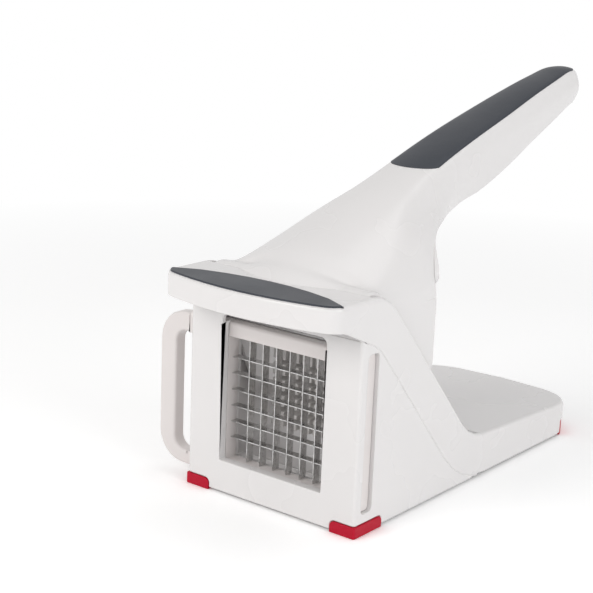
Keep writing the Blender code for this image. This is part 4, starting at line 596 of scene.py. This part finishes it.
def leverGrid():
    # Rows across the lever from the nose to the handle's end, and each row's station number.
    sections = [noseSection(*degrees) for degrees in leverSkin["noseRows"]]
    noseCount = len(sections)
    sections += [stationSection(station) for station in leverStations]
    counts = []
    for first, second in zip(sections, sections[1:]):
        counts.append(max(2, round(float(np.linalg.norm(second[0] - first[0])) / leverSkin["rowStep"])))
    columns = [smoothRun(column, counts) for column in zip(*sections)]
    half = np.array(columns).transpose(1, 0, 2)
    half[:, :, 0] = np.minimum(half[:, :, 0], leverSkin["halfWidth"])
    places = [-float(noseCount)]
    for index, count in enumerate(counts):
        places += [index - noseCount + step / count for step in range(1, count + 1)]
    grid = np.concatenate([half[:, :0:-1] * (-1, 1, 1), half], axis=1)
    places = np.array(places)
    # The nose stays as drawn, and the smoothing eases in over the first stations.
    ease = np.clip((places[1:-1] - leverSkin["easeFrom"]) / leverSkin["easeOver"], 0.0, 1.0)[:, None, None]
    for _ in range(leverSkin["smoothing"]):
        around = (grid[:-2, 1:-1] + grid[2:, 1:-1] + grid[1:-1, :-2] + grid[1:-1, 2:]) / 4
        grid[1:-1, 1:-1] += ease * leverSkin["smoothShare"] * (around - grid[1:-1, 1:-1])
    return grid, places


def sheetShape(rows, facing):
    # A sheet of quads through the rows, turned so that its faces look the way of facing.
    shape = bmesh.new()
    verts = [[shape.verts.new(Vector(point) + boxOrigin) for point in row] for row in rows]
    for first, second in zip(verts, verts[1:]):
        for index in range(len(first) - 1):
            shape.faces.new((first[index], first[index + 1], second[index + 1], second[index]))
    shape.normal_update()
    if sum((face.normal.dot(Vector(facing)) for face in shape.faces)) < 0:
        bmesh.ops.reverse_faces(shape, faces=shape.faces)
    shape.normal_update()
    return shape


def thicken(piece, wall, edge, clamp=0.0):
    solid = piece.modifiers.new("Wall", "SOLIDIFY")
    solid.thickness = wall
    solid.offset = -1
    solid.use_even_offset = True
    solid.thickness_clamp = clamp
    softenEdges(piece, edge, 3, 55.0)
    return piece


skinGrid, skinPlaces = leverGrid()
leverPiece = newPiece("lever_skin", sheetShape(skinGrid, (0, 0, 1)), bodyPlastic, "lever_shell")
thicken(leverPiece, leverSkin["wall"], leverSkin["rimEdge"], clamp=1.0)
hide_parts("lever_shell")


def skinPoint(place, share):
    # A point of the smooth skin, by its station number and its share of the top's half width.
    row = float(np.interp(place, skinPlaces, range(len(skinPlaces))))
    column = (skinGrid.shape[1] - 1) / 2 + share * leverSkin["topSteps"]
    r, c = min(int(row), skinGrid.shape[0] - 2), min(int(column), skinGrid.shape[1] - 2)
    u, v = row - r, column - c
    near = skinGrid[r, c] * (1 - v) + skinGrid[r, c + 1] * v
    far = skinGrid[r + 1, c] * (1 - v) + skinGrid[r + 1, c + 1] * v
    return near * (1 - u) + far * u


handlePad = {
    "front": (9.05, 9.62), "back": (17.40, 16.45), "corner": 0.22, "width": 0.945,
    "turnPower": 10,
    "proud": 0.00035, "thickness": 0.0013, "edge": 0.0003, "rows": 90, "columns": 28,
}


def buildHandlePad():
    rows = []
    for row in range(handlePad["rows"] + 1):
        line = []
        for column in range(handlePad["columns"] + 1):
            across = 2 * column / handlePad["columns"] - 1
            bend, turn = across**2, handlePad["corner"] * across ** handlePad["turnPower"]
            front = handlePad["front"][0] + (handlePad["front"][1] - handlePad["front"][0]) * bend + turn
            back = handlePad["back"][0] + (handlePad["back"][1] - handlePad["back"][0]) * bend - turn
            place = front + (back - front) * row / handlePad["rows"]
            line.append(skinPoint(place, across * handlePad["width"]))
        rows.append(line)
    shape = sheetShape(rows, (0, 0, 1))
    for vertex in shape.verts:
        vertex.co += vertex.normal * handlePad["proud"]
    pad = newPiece("grip_pad", shape, gripRubber, "handle_grip_pad")
    thicken(pad, handlePad["thickness"], handlePad["edge"])
    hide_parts("handle_grip_pad")


underside = {
    "start": 6.4, "wall": 0.0024, "crown": 0.0016, "gap": 0.0004, "columns": 12, "edge": 0.0003,
    "crownShift": 0.5, "leastHalf": 0.0006, "leastDrop": 0.0001,
}


def buildUnderside():
    rows = []
    sideColumn = skinGrid.shape[1] - 1 - leverSkin["sideSteps"]
    for place, line in zip(skinPlaces, skinGrid):
        rim, side = line[-1], line[sideColumn]
        flare = (rim[0] - side[0]) / max(side[2] - rim[2], underside["leastDrop"])
        wall = (leverSkin["wall"] + underside["wall"] * max(0, flare)) * math.hypot(1, flare)
        half = rim[0] - wall - underside["gap"]
        if place < underside["start"] or half < underside["leastHalf"]:
            continue
        row = []
        for column in range(underside["columns"] + 1):
            share = 2 * column / underside["columns"] - 1
            drop = underside["crown"] * (underside["crownShift"] - share**2)
            row.append((half * share, rim[1], rim[2] - drop))
        rows.append(row)
    panel = newPiece("underside_panel", sheetShape(rows, (0, 0, -1)), bodyPlastic, "handle_underside")
    thicken(panel, underside["wall"], underside["edge"])
    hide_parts("handle_underside")


arms = {
    "outside": 0.05325, "thickness": 0.0023, "top": 0.1178, "rear": (0.0778, 0.0800),
    "hinge": (0.0578, 0.0478), "eye": (0.008, 20.0, -158.6), "hub": (0.0135, -62.0, -187.0),
    "frontTop": (0.02395, 0.1028), "edge": 0.0004, "steps": 14,
}


def arcRun(centre, radius, startDeg, endDeg, steps):
    run = []
    for step in range(steps + 1):
        angle = math.radians(startDeg + (endDeg - startDeg) * step / steps)
        run.append((centre[0] + radius * math.cos(angle), centre[1] + radius * math.sin(angle)))
    return run


def buildArm(side):
    # Side arm of the lever: hub at the pivot, eye at the pusher's hinge.
    pivot = leverSkin["pivot"]
    outline = [(pivot[0], arms["top"]), (arms["rear"][0], arms["top"]), arms["rear"]]
    outline += arcRun(arms["hinge"], *arms["eye"], arms["steps"])
    outline.append(arms["frontTop"])
    outline += arcRun(pivot, *arms["hub"], arms["steps"])
    shape = bmesh.new()
    inside = arms["outside"] - arms["thickness"]
    near = [shape.verts.new(Vector((side * arms["outside"], y, z)) + boxOrigin) for y, z in outline]
    far = [shape.verts.new(Vector((side * inside, y, z)) + boxOrigin) for y, z in outline]
    shape.faces.new(near)
    shape.faces.new(far[::-1])
    for index in range(len(near)):
        after = (index + 1) % len(near)
        shape.faces.new((near[index], far[index], far[after], near[after]))
    bmesh.ops.recalc_face_normals(shape, faces=shape.faces)
    name = "arm_right" if side > 0 else "arm_left"
    softenEdges(newPiece(name, shape, bodyPlastic, "lever_shell"), arms["edge"], 2, 50.0)


buildHandlePad()
buildUnderside()
for side in (-1, 1):
    buildArm(side)
print("lever drawn:", skinGrid.shape[0], "rows")

# Finish of the solids that stay as they are

keptFinishes = {
    "vertical_blade": uprightSteel,
    "horizontal_blade": levelSteel,
    "pivot_bush": bushPlastic,
}
for name, piece in frame["nodes"].items():
    if name in mouldings or name in ("lever_shell", "handle_underside", "handle_grip_pad"):
        continue
    finish = next((finish for start, finish in keptFinishes.items() if name.startswith(start)), fittingSteel)
    for slot in piece.material_slots:
        slot.material = finish
    if not piece.material_slots:
        piece.data.materials.append(finish)
print("finishes given")

# Studio

studio = {
    "floorRadius": 3.0,
    "floorSides": 96,
    "paperScale": 700.0,
    "paperShare": 0.02,
    "paperTone": 0.8,
    "floorTone": 0.84,
    "floorSeen": 1.24,
    "fadeStart": 0.42,
    "fadeEnd": 0.85,
    "horizon": 0.96,
    "zenith": 0.62,
    "aim": (0.0, 0.0, 0.08),
    "key": {"place": (-0.35, -1.3, 0.75), "size": 0.9, "power": 6.6, "tone": (1.0, 0.985, 0.97)},
    "fill": {"place": (1.4, -0.25, 0.45), "size": 0.9, "power": 5.4, "tone": (0.98, 0.99, 1.0)},
    "top": {"place": (0.1, 0.4, 1.6), "size": 0.8, "power": 1.6, "tone": (1.0, 1.0, 1.0)},
}


def seenDirectly(tree):
    # 1 for what the camera, a mirror-like surface or a clear one shows.
    path = tree.nodes.new("ShaderNodeLightPath")
    mirrored = mathNode(tree, "MAXIMUM", path.outputs["Is Camera Ray"], path.outputs["Is Glossy Ray"])
    return mathNode(tree, "MAXIMUM", mirrored, path.outputs["Is Transmission Ray"])


def buildFloor():
    shape = bmesh.new()
    bmesh.ops.create_circle(shape, cap_ends=True, segments=studio["floorSides"], radius=studio["floorRadius"])
    mesh = bpy.data.meshes.new("floor")
    shape.to_mesh(mesh)
    shape.free()
    floor = bpy.data.objects.new("floor", mesh)
    scene.collection.objects.link(floor)
    made, tree, shader = newMaterial("floorPaper")
    tree.nodes.remove(shader)
    output = tree.nodes["Material Output"]
    seen = seenDirectly(tree)
    coords = tree.nodes.new("ShaderNodeTexCoord").outputs["Object"]
    length = addNode(tree, "ShaderNodeVectorMath", operation="LENGTH")
    tree.links.new(coords, length.inputs[0])
    fade = spread(tree, length.outputs["Value"], studio["fadeStart"], studio["fadeEnd"])
    grain = noiseNode(tree, coords, studio["paperScale"])
    grain = mathNode(tree, "MULTIPLY", grain, studio["paperShare"])
    tone = mixColour(tree, grain, (studio["floorTone"],) * 3, (studio["paperTone"],) * 3)
    litTone = mixColour(tree, seen, tone, (studio["floorSeen"],) * 3)
    matte = addNode(tree, "ShaderNodeBsdfDiffuse")
    tree.links.new(litTone, matte.inputs["Color"])
    white = addNode(tree, "ShaderNodeEmission")
    mix = addNode(tree, "ShaderNodeMixShader")
    tree.links.new(mathNode(tree, "MULTIPLY", fade, seen), mix.inputs["Fac"])
    tree.links.new(matte.outputs[0], mix.inputs[1])
    tree.links.new(white.outputs[0], mix.inputs[2])
    tree.links.new(mix.outputs[0], output.inputs["Surface"])
    floor.data.materials.append(made)


def buildWorld():
    world = bpy.data.worlds.new("studioWorld")
    scene.world = world
    world.use_nodes = True
    tree = world.node_tree
    tree.nodes.clear()
    output = tree.nodes.new("ShaderNodeOutputWorld")
    light = addNode(tree, "ShaderNodeBackground")
    split = addNode(tree, "ShaderNodeSeparateXYZ")
    tree.links.new(tree.nodes.new("ShaderNodeTexCoord").outputs["Generated"], split.inputs[0])
    height = mathNode(tree, "ABSOLUTE", split.outputs["Z"])
    tree.links.new(spread(tree, height, 0.0, 1.0, studio["horizon"], studio["zenith"]), light.inputs["Strength"])
    white = setInputs(addNode(tree, "ShaderNodeBackground"), Color=(1, 1, 1, 1), Strength=1.0)
    mix = addNode(tree, "ShaderNodeMixShader")
    path = tree.nodes.new("ShaderNodeLightPath")
    clear = mathNode(tree, "MAXIMUM", path.outputs["Is Camera Ray"], path.outputs["Is Transmission Ray"])
    tree.links.new(clear, mix.inputs["Fac"])
    tree.links.new(light.outputs[0], mix.inputs[1])
    tree.links.new(white.outputs[0], mix.inputs[2])
    tree.links.new(mix.outputs[0], output.inputs["Surface"])


def buildLamp(name, spec):
    lamp = bpy.data.lights.new(name, "AREA")
    lamp.shape = "DISK"
    lamp.size = spec["size"]
    lamp.energy = spec["power"]
    lamp.color = spec["tone"]
    item = bpy.data.objects.new(name, lamp)
    scene.collection.objects.link(item)
    item.location = spec["place"]
    aim = Vector(studio["aim"]) - item.location
    item.rotation_euler = aim.to_track_quat("-Z", "Y").to_euler()


def buildCamera():
    # The photograph's viewpoint, found from the front panel, the slot and the blade grid.
    view = {
        "place": (0.4627, -0.5786, 0.3092),
        "right": (0.7840, 0.6194, 0.0394),
        "up": (-0.1815, 0.1679, 0.9689),
        "lens": 86.72,
        "sensor": 36.0,
    }
    data = bpy.data.cameras.new("camera")
    data.lens = view["lens"]
    data.sensor_width = view["sensor"]
    data.clip_start = 0.02
    data.clip_end = 20.0
    camera = bpy.data.objects.new("camera", data)
    scene.collection.objects.link(camera)
    right = Vector(view["right"]).normalized()
    back = right.cross(Vector(view["up"])).normalized()
    turn = Matrix((right, back.cross(right), back)).transposed()
    camera.matrix_world = Matrix.Translation(Vector(view["place"]) + boxOrigin) @ turn.to_4x4()
    scene.camera = camera


buildFloor()
buildWorld()
for lampName in ("key", "fill", "top"):
    buildLamp(lampName, studio[lampName])
buildCamera()
print("studio ready")
